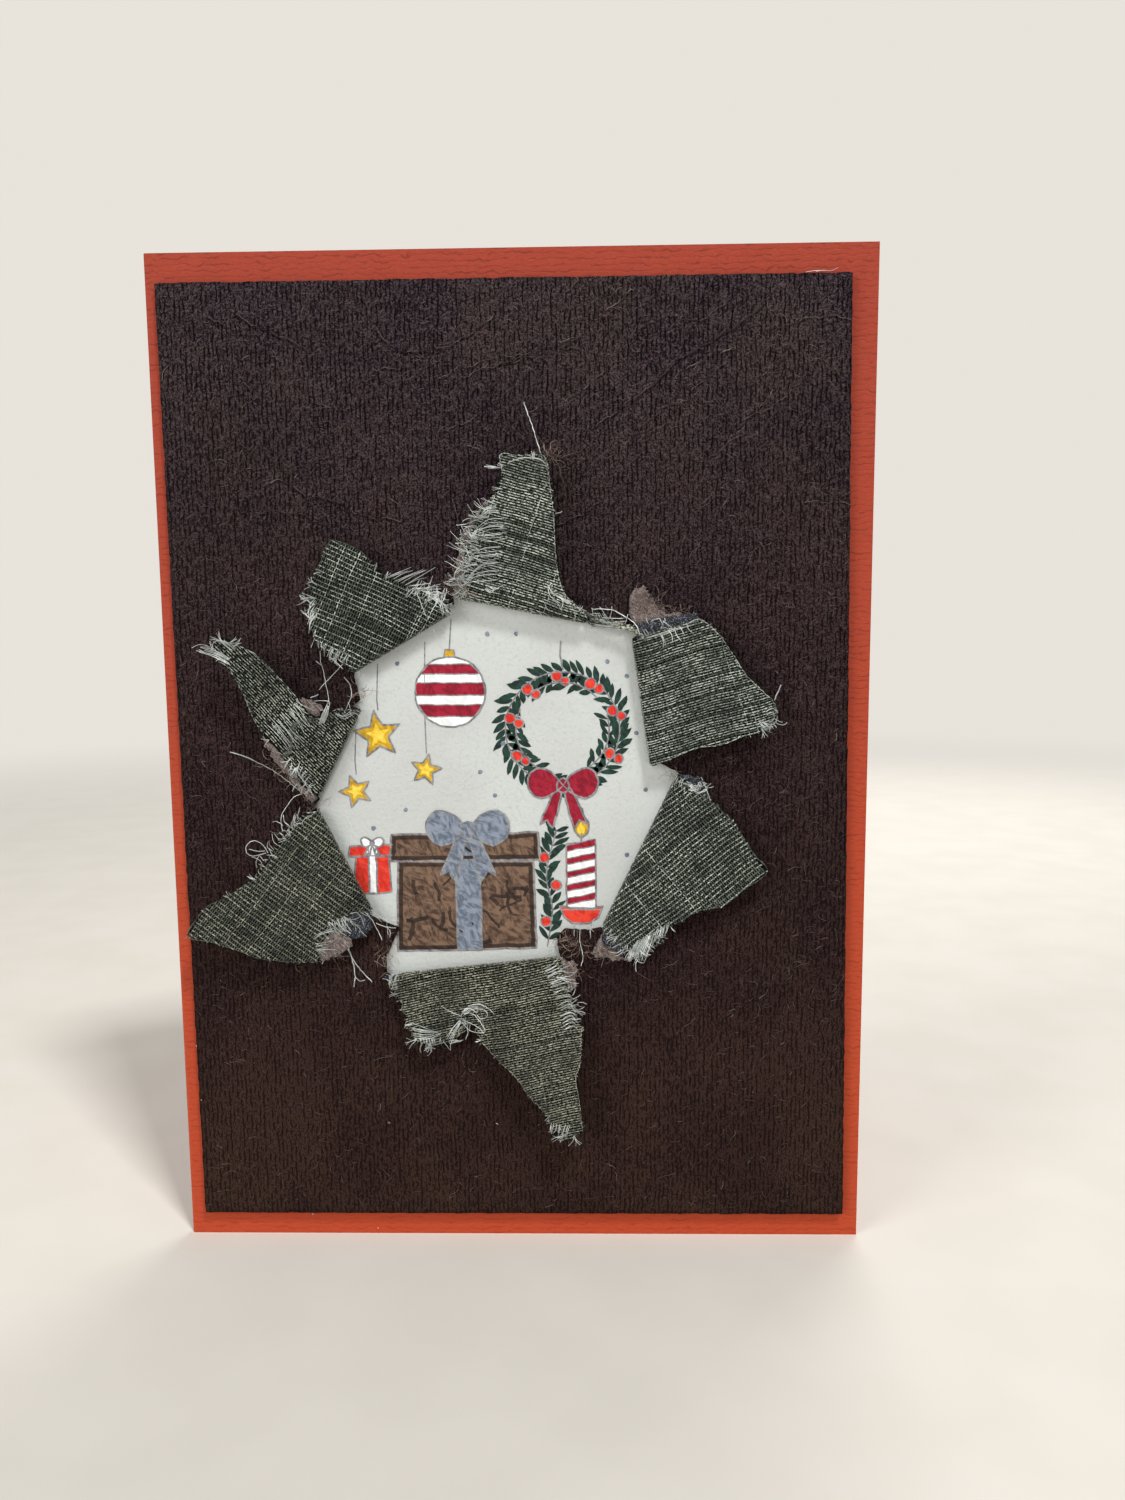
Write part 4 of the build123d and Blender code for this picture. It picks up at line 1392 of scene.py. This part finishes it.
# Rows of white strands side by side: petal or panel, radius, count, heights over the cloth, and the
# first and the last strand in pixels. On the panel the heights are over its back.
FRINGES = [
    ("upper_left", 0.095, 7, (0.3, 0.6, 0.4), [(384, 577), (396, 572), (408, 568)],
     [(404, 585), (418, 577), (434, 570)]),
    ("upper_left", 0.09, 8, (0.3, 0.5, 0.2), [(406, 586), (420, 581), (434, 579)],
     [(420, 590), (434, 594), (447, 594)]),
    ("upper_left", 0.085, 7, (0.3, 0.5, 0.1), [(426, 596), (438, 602), (441, 613)],
     [(434, 594), (446, 604), (452, 617)]),
    ("upper_left", 0.09, 10, (0.3, 0.4, 0.1), [(316, 598), (310, 605), (308, 612)],
     [(317, 618), (312, 625), (310, 633)]),
    ("upper_left", 0.075, 15, (0.25, 0.35, 0.1), [(322, 640), (319, 645), (318, 650)],
     [(351, 655), (348, 661), (347, 666)]),
    ("top", 0.075, 9, (0.2, 0.8, 0.5), [(504, 519), (490, 518), (477, 529), (470, 540)],
     [(508, 538), (492, 541), (478, 538), (468, 532)]),
    ("top", 0.075, 8, (0.2, 0.7, 0.4), [(504, 545), (486, 546), (475, 552), (467, 563)],
     [(500, 562), (486, 564), (474, 560), (465, 566)]),
    ("top", 0.075, 8, (0.2, 0.7, 0.4), [(502, 562), (487, 561), (476, 568), (468, 581)],
     [(498, 580), (486, 580), (472, 582), (462, 590)]),
    ("top", 0.075, 6, (0.3, 0.7, 0.5), [(494, 505), (486, 507), (480, 513)],
     [(500, 514), (491, 513), (483, 518)]),
    ("top", 0.09, 7, (0.3, 0.2, -0.6), [(466, 586), (456, 592), (446, 600)],
     [(468, 592), (458, 598), (450, 606)]),
    ("top", 0.08, 5, (0.3, 0.5, 0.3), [(484, 590), (490, 594), (496, 592)],
     [(488, 584), (495, 588), (500, 584)]),
    ("left", 0.085, 6, (0.3, 0.5, 0.2), [(232, 652), (220, 641), (207, 636)],
     [(238, 648), (227, 642), (216, 639)]),
    ("left", 0.095, 7, (0.3, 0.5, 0.2), [(230, 664), (215, 656), (199, 651)],
     [(231, 658), (219, 651), (206, 647)]),
    ("left", 0.07, 3, (0.3, 0.5, 0.2), [(224, 642), (220, 637), (218, 631)],
     [(226, 643), (222, 638), (219, 633)]),
    ("left", 0.075, 12, (0.3, 0.34, 0.3), [(297, 700), (304, 710), (312, 722)],
     [(267, 728), (279, 742), (291, 757)]),
    ("left", 0.085, 3, (0.3, 0.6, 0.5), [(296, 700), (306, 705), (316, 711)],
     [(298, 711), (303, 717), (308, 722)]),
    ("left", 0.10, 9, (0.4, 1.0, 1.2), [(318, 724), (322, 714), (327, 703)],
     [(325, 723), (328, 714), (332, 705)]),
    ("left", 0.08, 8, (0.3, 0.5, 0.2), [(300, 762), (297, 770), (301, 778)],
     [(315, 784), (309, 787), (316, 796)]),
    ("left", 0.07, 4, (0.3, 0.4, 0.2), [(334, 712), (342, 716), (350, 711)],
     [(336, 714), (344, 718), (358, 710)]),
    ("lower_left", 0.065, 6, (0.3, 0.4, 0.1), [(303, 820), (299, 815), (300, 807)],
     [(291, 832), (290, 825), (294, 816)]),
    ("lower_left", 0.065, 6, (0.3, 0.4, 0.1), [(288, 835), (284, 831), (279, 832)],
     [(271, 853), (267, 847), (268, 839)]),
    ("lower_left", 0.09, 6, (0.3, 0.5, 0.3), [(314, 937), (322, 932), (332, 930)],
     [(316, 951), (324, 950), (333, 949)]),
    ("lower_left", 0.09, 7, (0.3, 0.6, 0.4), [(332, 921), (336, 929), (342, 934)],
     [(342, 917), (347, 926), (352, 931)]),
    ("bottom", 0.08, 17, (0.3, 0.7, 0.2), [(543, 967), (553, 962), (560, 957)],
     [(556, 1000), (566, 996), (573, 1000)]),
    ("bottom", 0.08, 13, (0.3, 0.6, 0.2), [(558, 1003), (569, 998), (575, 1003)],
     [(564, 1031), (573, 1027), (578, 1032)]),
    ("bottom", 0.085, 7, (0.3, 0.4, 0.3), [(411, 1024), (424, 1028), (438, 1030)],
     [(415, 1037), (428, 1038), (441, 1034)]),
    ("bottom", 0.065, 10, (0.3, 0.3, -0.1), [(419, 1037), (421, 1041), (420, 1045)],
     [(442, 1037), (441, 1042), (443, 1046)]),
    ("bottom", 0.08, 8, (0.4, 0.7, 0.3), [(460, 1019), (452, 1027), (446, 1037)],
     [(461, 1023), (457, 1032), (452, 1041)]),
    ("bottom", 0.07, 6, (0.4, 0.9, 0.5), [(462, 1012), (470, 1004), (482, 1003)],
     [(464, 1016), (474, 1010), (486, 1008)]),
    ("bottom", 0.085, 12, (0.3, 0.3, 0.1), [(549, 1122), (548, 1127), (546, 1131)],
     [(573, 1124), (571, 1131), (570, 1136)]),
    ("bottom", 0.08, 6, (0.3, 0.5, 0.2), [(394, 972), (389, 978), (389, 986)],
     [(398, 974), (396, 981), (395, 988)]),
    ("lower_right", 0.085, 26, (0.3, 0.6, 0.2), [(637, 941), (632, 950), (628, 961)],
     [(656, 931), (653, 942), (647, 956)]),
    ("lower_right", 0.08, 10, (0.3, 0.5, 0.2), [(656, 930), (655, 935), (653, 942)],
     [(669, 922), (668, 929), (664, 936)]),
    ("lower_right", 0.07, 6, (0.3, 0.5, 0.3), [(678, 776), (676, 781), (674, 785)],
     [(685, 779), (683, 784), (680, 788)]),
    ("lower_right", 0.07, 5, (0.3, 0.5, 0.3), [(687, 785), (693, 789), (699, 791)],
     [(688, 780), (694, 783), (700, 786)]),
    ("lower_right", 0.09, 5, (0.3, 0.4, 0.3), [(603, 935), (607, 932), (611, 930)],
     [(615, 951), (621, 948), (628, 946)]),
    ("upper_right", 0.10, 2, (0.35, 0.5, 0.35), [(661, 622), (665, 625), (669, 628)],
     [(664, 620), (668, 624), (671, 627)]),
    ("upper_right", 0.09, 2, (0.35, 0.5, 0.35), [(647, 629), (650, 632), (653, 636)],
     [(640, 629), (642, 632), (645, 636)]),
    ("upper_right", 0.095, 2, (0.35, 0.38, 0.35), [(643, 637), (664, 631), (688, 623)],
     [(646, 640), (665, 634), (684, 628)]),
    ("upper_right", 0.085, 6, (0.32, 0.34, 0.3), [(653, 636), (656, 643), (658, 650)],
     [(688, 622), (691, 628), (693, 634)]),
    ("upper_right", 0.08, 5, (0.3, 0.5, 0.2), [(757, 726), (762, 729), (768, 730)],
     [(764, 720), (769, 725), (774, 726)]),
    ("panel", 0.085, 8, (1.6, 2.4, 2.0), [(588, 617), (604, 617), (622, 618)],
     [(592, 626), (608, 629), (627, 629)]),
    ("panel", 0.075, 6, (1.6, 2.6, 2.2), [(594, 612), (600, 620), (612, 622)],
     [(606, 614), (614, 624), (630, 624)]),
]


def fringes(piles, surfaces, chance):
    """Rows of strands side by side, each a little astray."""
    for owner, radius, count, lifts, first, last in FRINGES:
        surface = surfaces[owner]
        guides = [surface.from_photo(pixels) for pixels in (first, last)]
        rises = np.interp(np.linspace(0, 1, len(first)), np.linspace(0, 1, len(lifts)), lifts)
        rises[0] -= 0.16
        away = np.linspace(0.25, 1, len(first))[:, None]
        for place in (np.arange(count) + 0.5) / count:
            share = place + chance.normal(0, 0.5 / count)
            line = guides[0] + (guides[1] - guides[0]) * share
            line = line + chance.normal(0, 0.24, line.shape) * away
            line[-1] += (line[-1] - line[-2]) * chance.uniform(-0.45, 0.3)
            heights = rises + chance.normal(0, 0.12, len(rises)) * away[:, 0]
            path = smooth_path(np.column_stack([line, heights]), 0.4)
            shares = np.linspace(0, 1, len(path))
            width = radius * chance.uniform(0.55, 1.15) * np.interp(shares, (0, 0.2, 1), (0.6, 1, 0.55))
            lay(piles[owner], surface, path, path[:, 2], width, width, 5, WHITE)


def smooth_path(points, step):
    """Flowing line through points, with a point about every step."""
    points = np.asarray(points, float)
    padded = np.concatenate([[2 * points[0] - points[1]], points, [2 * points[-1] - points[-2]]])
    found = []
    for k in range(1, len(padded) - 2):
        before, start, end, after = padded[k - 1:k + 3]
        parts = max(2, int(np.linalg.norm(end - start) / step))
        for t in np.arange(parts) / parts:
            found.append(0.5 * (2 * start + (end - before) * t
                                + (2 * before - 5 * start + 4 * end - after) * t ** 2
                                + (3 * start - before - 3 * end + after) * t ** 3))
    found.append(padded[-2])
    return np.array(found)


def standing_path(points, step):
    """Flowing line over the face through pixels that have their heights with them."""
    heights = np.array([point[2] for point in points])
    return smooth_path(np.column_stack([photo_points(points, heights), heights]), step)


def loose_threads(pile, chance):
    """Single threads that hang off the petals or lie across them."""
    for kind, radius, pixels in LOOSE_THREADS:
        path = standing_path(pixels, 0.5)
        path[1:-1] += chance.normal(0, 0.04, (len(path) - 2, 3))
        lay(pile, FRONT, path, path[:, 2], radius, radius, 5, kind)


# Middle line of the twisted strip of weave that runs from the top petal to the next one on its
# right, as pixels with the height of each point
TWISTED_STRIP = [(549, 588, 3.3), (562, 597, 3.2), (576, 608, 2.8), (590, 616, 2.3),
                 (606, 622, 2.1), (622, 626, 2.3), (638, 632, 2.9), (646, 640, 3.2)]


def twisted_strip(materials, chance):
    """Narrow strip of the weave, torn loose and twisted like a rope."""
    pile = Pile()
    line = standing_path(TWISTED_STRIP, 0.35)
    along = unit(np.gradient(line, axis=0))
    side = unit(np.cross(along, [0, 0, 1.0]))
    share = np.linspace(0, 1, len(line))
    for number in range(16):
        turn = number * 2.4 + share * 9.0 + 0.4 * np.sin(share * 20 + number)
        radius = (0.85 - 0.3 * share) * (0.45 + 0.55 * ((number * 7) % 10) / 10)
        path = line + side * (np.cos(turn) * radius)[:, None]
        path[:, 2] += np.sin(turn) * radius * 0.55
        path += chance.normal(0, 0.03, path.shape)
        lay(pile, FRONT, path, path[:, 2], 0.13, 0.10, 5, number % len(materials))
    pile.piece("twisted_strip", materials, "brown_felt")


def make_frays(petals):
    """All the loose fibres and threads."""
    chance = np.random.default_rng(7)
    white = thread_material("white_fibre", colour(168, 175, 170), colour(236, 240, 237), 1.5)
    tan = thread_material("tan_fibre", colour(92, 74, 66), colour(168, 148, 134), 1.5)
    surfaces = {petal.name: petal for petal in petals}
    surfaces["panel"] = FRONT
    piles = {name: Pile() for name in surfaces}
    for petal in petals:
        fray_edge(piles[petal.name], petal, chance)
    fray_tangles(piles, chance)
    fringes(piles, surfaces, chance)
    loose_threads(piles["panel"], chance)
    for name, pile in piles.items():
        pile.piece("fray_" + name, [white, tan], "brown_felt")


def felt_fibres(petals):
    """Single fibres that lie loose on the front of the panel, and strands along the crests of the
    creases that paint a highlight on them.
    """
    chance = np.random.default_rng(23)
    pile = Pile()
    corners = np.array(panel_corners())
    hole = spread_out(window_outline(petals), 1.0)
    low, high = corners.min(0) + 1.5, corners.max(0) - 1.5
    count = 0
    while count < 3600:
        root = low + (high - low) * chance.uniform(size=2)
        close = np.linalg.norm(root) < 52
        share = (root[1] - low[1]) / (high[1] - low[1])
        if chance.uniform() > 0.25 + 0.7 * share + 0.2 * close:
            continue
        length = chance.uniform(0.7, 2.2) * (2.0 if chance.uniform() < 0.08 else 1.0)
        heading = chance.normal(0.5, 0.6) if chance.uniform() < 0.7 else chance.uniform(0, 6.3)
        points, lifts = strand(root, heading, length, FABRIC + 0.02, 0.16, chance, 0.3, 0.5)
        if inside(points, hole).any() or not inside(points, corners).all():
            continue
        width = chance.uniform(0.018, 0.04)
        kind = int(chance.uniform() > 0.84)
        lay(pile, FRONT, points, lifts, width, width, 3, kind)
        count += 1
    # Painted highlight: strands lighter than the felt lie along the crest of each crease.
    lines = crease_lines()
    for _, line in lines:
        sideways = unit(np.gradient(line, axis=0))[:, ::-1] * (-1, 1)
        for side in (0.32, 0.36):
            crest = line + sideways * side + chance.normal(0, 0.03, line.shape)
            heights = FABRIC + crease_relief(crest, lines) + 0.02
            stops = [0, *np.cumsum(chance.integers(2, 9, len(line)))]
            for first, last in zip(stops[:-1:2], stops[1::2]):
                path = on_face(crest[first:last + 1], heights[first:last + 1])
                if len(path) > 2:
                    tube(pile, path, OUTWARD, 0.035, 0.03, 3, int(chance.uniform() < 0.4))
    brown = thread_material("felt_fibre", colour(66, 53, 51), colour(118, 103, 97), 1.5)
    grey = thread_material("pale_felt_fibre", colour(104, 91, 86), colour(158, 145, 137), 1.5)
    pile.piece("felt_fibres", [brown, grey], "brown_felt")


# Dark and light tone of each paint, as seen on a screen
PAINTS = {
    "leaf_green": ((12, 30, 26), (30, 62, 52)),
    "poppy_red": ((196, 38, 26), (228, 66, 46)),
    "deep_red": ((120, 8, 32), (162, 24, 50)),
    "ochre": ((176, 134, 14), (214, 172, 44)),
    "yellow": ((226, 188, 40), (244, 214, 92)),
    "umber": ((66, 47, 36), (122, 97, 79)),
    "dark_umber": ((34, 24, 20), (62, 45, 36)),
    "slate_blue": ((88, 98, 114), (136, 146, 160)),
    "white_paint": ((226, 228, 228), (246, 247, 247)),
    "pen_grey": ((104, 104, 108), (150, 150, 152)),
}


def ellipse(centre, half_width, half_height, count):
    """Closed outline of an ellipse."""
    angles = np.arange(count) * 2 * math.pi / count
    points = np.stack([np.cos(angles) * half_width, np.sin(angles) * half_height], 1)
    return points + centre


def turned_shape(points, centre, turn):
    """Outline turned by degrees and moved to a centre."""
    lean = math.radians(turn)
    spin = np.array([[math.cos(lean), math.sin(lean)], [-math.sin(lean), math.cos(lean)]])
    return np.asarray(points, float) @ spin + centre


def star(centre, radius, turn):
    """Closed outline of a five-pointed star."""
    angles = math.pi / 2 + np.arange(10) * math.pi / 5
    reach = np.where(np.arange(10) % 2 == 0, radius, radius * 0.45)
    points = np.stack([np.cos(angles), np.sin(angles)], 1) * reach[:, None]
    return turned_shape(points, centre, turn)


class Drawing:
    """Painted shapes and pen lines on the paper, in layers one over the other."""

    LAYER = 0.025

    def __init__(self):
        self.piles = {name: Pile() for name in PAINTS}
        self.chance = np.random.default_rng(31)
        self.shapes = 0

    def wobble(self, outline, step=0.7, amount=0.05):
        """Outline as an unsteady hand draws it."""
        points = resampled(outline, step)
        noise = self.chance.normal(0, amount, points.shape)
        return points + (noise + np.roll(noise, 1, axis=0) + np.roll(noise, 2, axis=0)) / 1.7

    def fill(self, paint, outline, layer, pen=0.2):
        """Painted shape, with a pen line round it unless pen is zero."""
        outline = self.wobble(outline)
        points, triangles, _ = filled(outline, [], 50.0)
        self.shapes += 1
        top = self.LAYER * (layer + 1) + 0.0015 * (self.shapes % 13)
        triangles = anticlockwise(points, triangles)
        closed_sheet(self.piles[paint], on_face(points, top), on_face(points, 0.0), triangles, 0, 0)
        if pen:
            self.line([*outline, outline[0], outline[1]], layer, pen)
        if paint == "umber":
            self.brush(outline, layer)

    def brush(self, outline, layer):
        """Dark strokes inside a brown shape: round its edge and here and there across it."""
        inner = spread_out(outline, -0.75)
        self.line([*inner, inner[0]], layer + 0.3, 0.4, "dark_umber")
        low, high = outline.min(0), outline.max(0)
        for _ in range(int(np.prod(high - low) / 18)):
            root = low + (high - low) * self.chance.uniform(0.08, 0.92, 2)
            heading = self.chance.uniform(0, 2 * math.pi)
            length = self.chance.uniform(2.5, 6.5)
            points, _ = strand(root, heading, length, 0, 0, self.chance, 0.18, 0.6)
            if inside(points, inner).all():
                self.line(points, layer + 0.3, self.chance.uniform(0.2, 0.45), "dark_umber")

    def line(self, points, layer, half_width=0.2, paint="pen_grey"):
        """Pen line through points."""
        points = resampled(points, 0.8, closed=False)
        self.shapes += 1
        low = self.LAYER * (layer + 1.2) + 0.0012 * (self.shapes % 6)
        path = on_face(points, np.linspace(low, low + 0.008, len(points)))
        tube(self.piles[paint], path, OUTWARD, half_width, 0.03, 6, 0)

    def leaf(self, root, turn, length, width, paint="leaf_green", layer=1):
        """Pointed leaf that starts at its root."""
        share = np.linspace(0, 1, 7)
        side = np.sin(share * math.pi) ** 0.8 * width / 2
        upper = np.stack([share * length, side], 1)
        lower = np.stack([share * length, -side], 1)[::-1]
        outline = turned_shape(np.concatenate([upper[:-1], lower[:-1]]), root, turn)
        self.fill(paint, outline, layer, pen=0)

    def sprig(self, stem, gap, length, width, lean=42.0, layer=1):
        """Stem with leaves in pairs all the way along it."""
        stem = smooth_path(stem, 0.5)
        self.line(stem, layer, 0.15)
        ways = np.concatenate([[0], np.cumsum(np.linalg.norm(np.diff(stem, axis=0), axis=1))])
        for way in np.arange(gap, ways[-1], gap):
            here = np.array([np.interp(way, ways, stem[:, k]) for k in (0, 1)])
            there = np.array([np.interp(way + 0.5, ways, stem[:, k]) for k in (0, 1)])
            back = np.array([np.interp(way - 0.5, ways, stem[:, k]) for k in (0, 1)])
            course = math.degrees(math.atan2(*(there - back)[::-1]))
            for side in (-1, 1):
                turn = course + side * (lean + self.chance.normal(0, 7))
                reach = length * self.chance.uniform(0.8, 1.15)
                self.leaf(here, turn, reach, width * self.chance.uniform(0.85, 1.1), layer=layer)

    def bow(self, centre, size, paint, layer):
        """Ribbon bow with two loops, two tails and a knot."""
        loop = [(0, 0), (0.35, 0.42), (0.85, 0.55), (1.12, 0.25), (1.05, -0.2), (0.7, -0.42),
                (0.3, -0.25)]
        tail = [(0, 0), (0.22, -0.05), (0.55, -0.75), (0.75, -1.25), (0.52, -1.12), (0.36, -1.38),
                (0.15, -0.7)]
        for side in (-1, 1):
            for part, depth in ((tail, layer), (loop, layer + 1)):
                shape = smooth_path([*part, part[0]], 0.15)[:-1] * size * (side, 1)
                self.fill(paint, shape + centre, depth)
        self.fill(paint, ellipse(centre, size * 0.2, size * 0.24, 12), layer + 2)

    def finish(self):
        """Make one piece of each paint."""
        for name, pile in self.piles.items():
            dark, light = PAINTS[name]
            paint = gouache(name, colour(*dark), colour(*light))
            pile.piece("drawn_" + name, [paint], "cream_paper", smooth=False)


def wreath(drawing, centre, radius, string_top):
    """Hanging wreath of leafy twigs with berries, a bow and its string."""
    middle = np.array(centre)
    for first, last in ((-80, 38), (30, 150), (142, 262)):
        angles = np.radians(np.linspace(first, last, 9))
        stem = middle + np.stack([np.cos(angles), np.sin(angles)], 1) * radius
        drawing.sprig(stem, 1.55, 3.7, 1.25)
        angles = np.radians(np.linspace(first + 12, last - 20, 7))
        stem = middle + np.stack([np.cos(angles), np.sin(angles)], 1) * (radius - 2.2)
        drawing.sprig(stem, 1.7, 3.0, 1.1)
    for angle in (20, 58, 96, 131, 168, 210, 332):
        turn = math.radians(angle)
        berry = middle + np.array([math.cos(turn), math.sin(turn)]) * (radius - 0.8)
        drawing.fill("poppy_red", ellipse(berry, 1.15, 1.15, 12), 2, 0.15)
        drawing.fill("poppy_red", ellipse(berry + (1.8, -1.1), 0.95, 0.95, 12), 2, 0.15)
    drawing.line([middle + (0.2, radius + 0.4), middle + (-0.4, radius + 3.5),
                  (middle[0] - 0.2, string_top)], 1, 0.17)
    drawing.bow(middle + (0, -radius), 6.6, "deep_red", 3)


def parcel(drawing, corner, width, height, paint, ribbon, band):
    """Wrapped parcel with a lid, a ribbon and a bow."""
    a, b = corner
    lid = height * 0.24
    box = [(a, b), (a + width, b + 0.6), (a + width - 0.4, b + height - lid), (a + 0.5, b + height - lid)]
    drawing.fill(paint, box, 1)
    top = [(a - 1.0, b + height - lid), (a + width + 1.0, b + height - lid + 0.3),
           (a + width + 0.6, b + height), (a - 0.7, b + height - 0.4)]
    drawing.fill(paint, top, 2)
    middle = a + width * 0.52
    drawing.fill(ribbon, [(middle - band, b + 0.3), (middle + band, b + 0.3),
                          (middle + band, b + height), (middle - band, b + height)], 3)
    drawing.bow(np.array([middle, b + height + 0.4]), width * 0.26, ribbon, 4)
    return middle


def candle(drawing, foot, width, height):
    """Striped candle with its flame, in a round holder."""
    a, b = foot
    body = [(a - width / 2, b), (a + width / 2, b), (a + width / 2, b + height),
            (a - width / 2, b + height - 0.6)]
    drawing.fill("white_paint", body, 1)
    for way in np.arange(1.2, height - 2.2, 2.9):
        low = b + way
        drawing.fill("deep_red", [(a - width / 2, low), (a + width / 2, low + 1.3),
                                  (a + width / 2, low + 2.6), (a - width / 2, low + 1.3)], 2, 0.12)
    drawing.line([(a, b + height - 0.2), (a + 0.2, b + height + 1.8)], 2, 0.14)
    flame = [(0, 0), (1.4, 1.4), (1.5, 3.0), (0.5, 4.6), (0.1, 6.4), (-0.6, 4.6), (-1.6, 2.9),
             (-1.3, 1.2)]
    shape = smooth_path([*flame, flame[0]], 0.4)[:-1]
    drawing.fill("ochre", shape + (a + 0.1, b + height + 0.8), 1)
    drawing.fill("yellow", shape * 0.5 + (a + 0.1, b + height + 1.3), 2, 0)
    bowl = [(-4.6, 0.9), (-3.6, -1.6), (-1.8, -2.9), (1.8, -2.9), (3.6, -1.6), (4.6, 0.9), (2.4, 0.5),
            (-2.4, 0.5)]
    drawing.fill("poppy_red", np.array(bowl) + (a, b), 3)
    drawing.line([(a - 4.2, b + 0.1), (a + 4.2, b + 0.1)], 4, 0.14)


def bauble(drawing, centre, radius, string_top):
    """Round bauble with stripes, on a string."""
    middle = np.array(centre, float)
    drawing.fill("white_paint", ellipse(middle, radius, radius, 30), 1)
    for low, high in ((-0.72, -0.38), (-0.1, 0.26), (0.52, 0.8)):
        edge = []
        for level in np.linspace(low, high, 4):
            edge.append((math.sqrt(1 - level * level), level))
        edge += [(-x, y) for x, y in reversed(edge)]
        drawing.fill("deep_red", np.array(edge) * radius * 0.97 + middle, 2, 0.12)
    cap = np.array([(-1.1, 0), (1.1, 0), (0.9, 1.5), (-0.9, 1.5)]) + middle + (0, radius - 0.1)
    drawing.fill("ochre", cap, 2, 0.15)
    drawing.line([middle + (0, radius + 1.5), (middle[0] + 0.5, string_top)], 1, 0.14)


def make_drawing():
    """Winter still life in pen and paint on the paper."""
    drawing = Drawing()
    wreath(drawing, (13.5, 13.0), 12.0, 31.5)
    parcel(drawing, (-22.5, -35.0), 30.0, 26.0, "umber", "slate_blue", 2.6)
    parcel(drawing, (-31.5, -22.5), 8.0, 11.0, "poppy_red", "white_paint", 0.8)
    candle(drawing, (17.2, -26.0), 6.2, 15.0)
    bauble(drawing, (-10.0, 21.0), 7.4, 36.2)
    for centre, radius, top, turn in (((-25.5, 12.0), 5.2, 27.0, 8.0), ((-15.5, 4.5), 3.4, 31.5, -12),
                                      ((-30.5, 0.0), 3.6, 13.0, 20.0)):
        drawing.line([(centre[0] + 0.2, centre[1] + radius), (centre[0], (centre[1] + top) / 2),
                      (centre[0] + 0.4, top)], 0, 0.13)
        drawing.fill("ochre", star(centre, radius, turn), 2, 0.2)
        drawing.fill("yellow", star(centre, radius * 0.5, turn), 3, 0)
    drawing.sprig([(9.8, -34.0), (11.0, -26.0), (9.8, -18.0), (12.0, -8.5)], 1.6, 3.6, 1.25)
    for berry in ((9.4, -14.5), (11.8, -20.5), (9.6, -28.5)):
        drawing.fill("poppy_red", ellipse(berry, 1.1, 1.1, 12), 3, 0.15)
    for dot in ((-4, 4), (-27, -8), (1, 10), (4, 33), (27, 24), (31, 0), (-1, -1), (-2, 33),
                (23, 27), (29, 12), (-21, 27), (27, -14), (-20, -4)):
        drawing.fill("slate_blue", ellipse(dot, 0.5, 0.5, 8), 1, 0)
    drawing.finish()


make_camera()
make_stage()
all_petals = [Petal(name, facts) for name, facts in PETALS.items()]
make_panel(all_petals, [brown_felt(), scrim_ground(), glue_coat(), felt_reverse()])
threads = thread_materials()
for one_petal in all_petals:
    weave(one_petal, threads)
make_frays(all_petals)
twisted_strip(threads[:FLECKED], np.random.default_rng(17))
felt_fibres(all_petals)
make_drawing()

for node_name, material in (("card", red_cardstock()), ("picture_sheet", cream_paper())):
    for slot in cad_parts[node_name].material_slots:
        slot.material = material
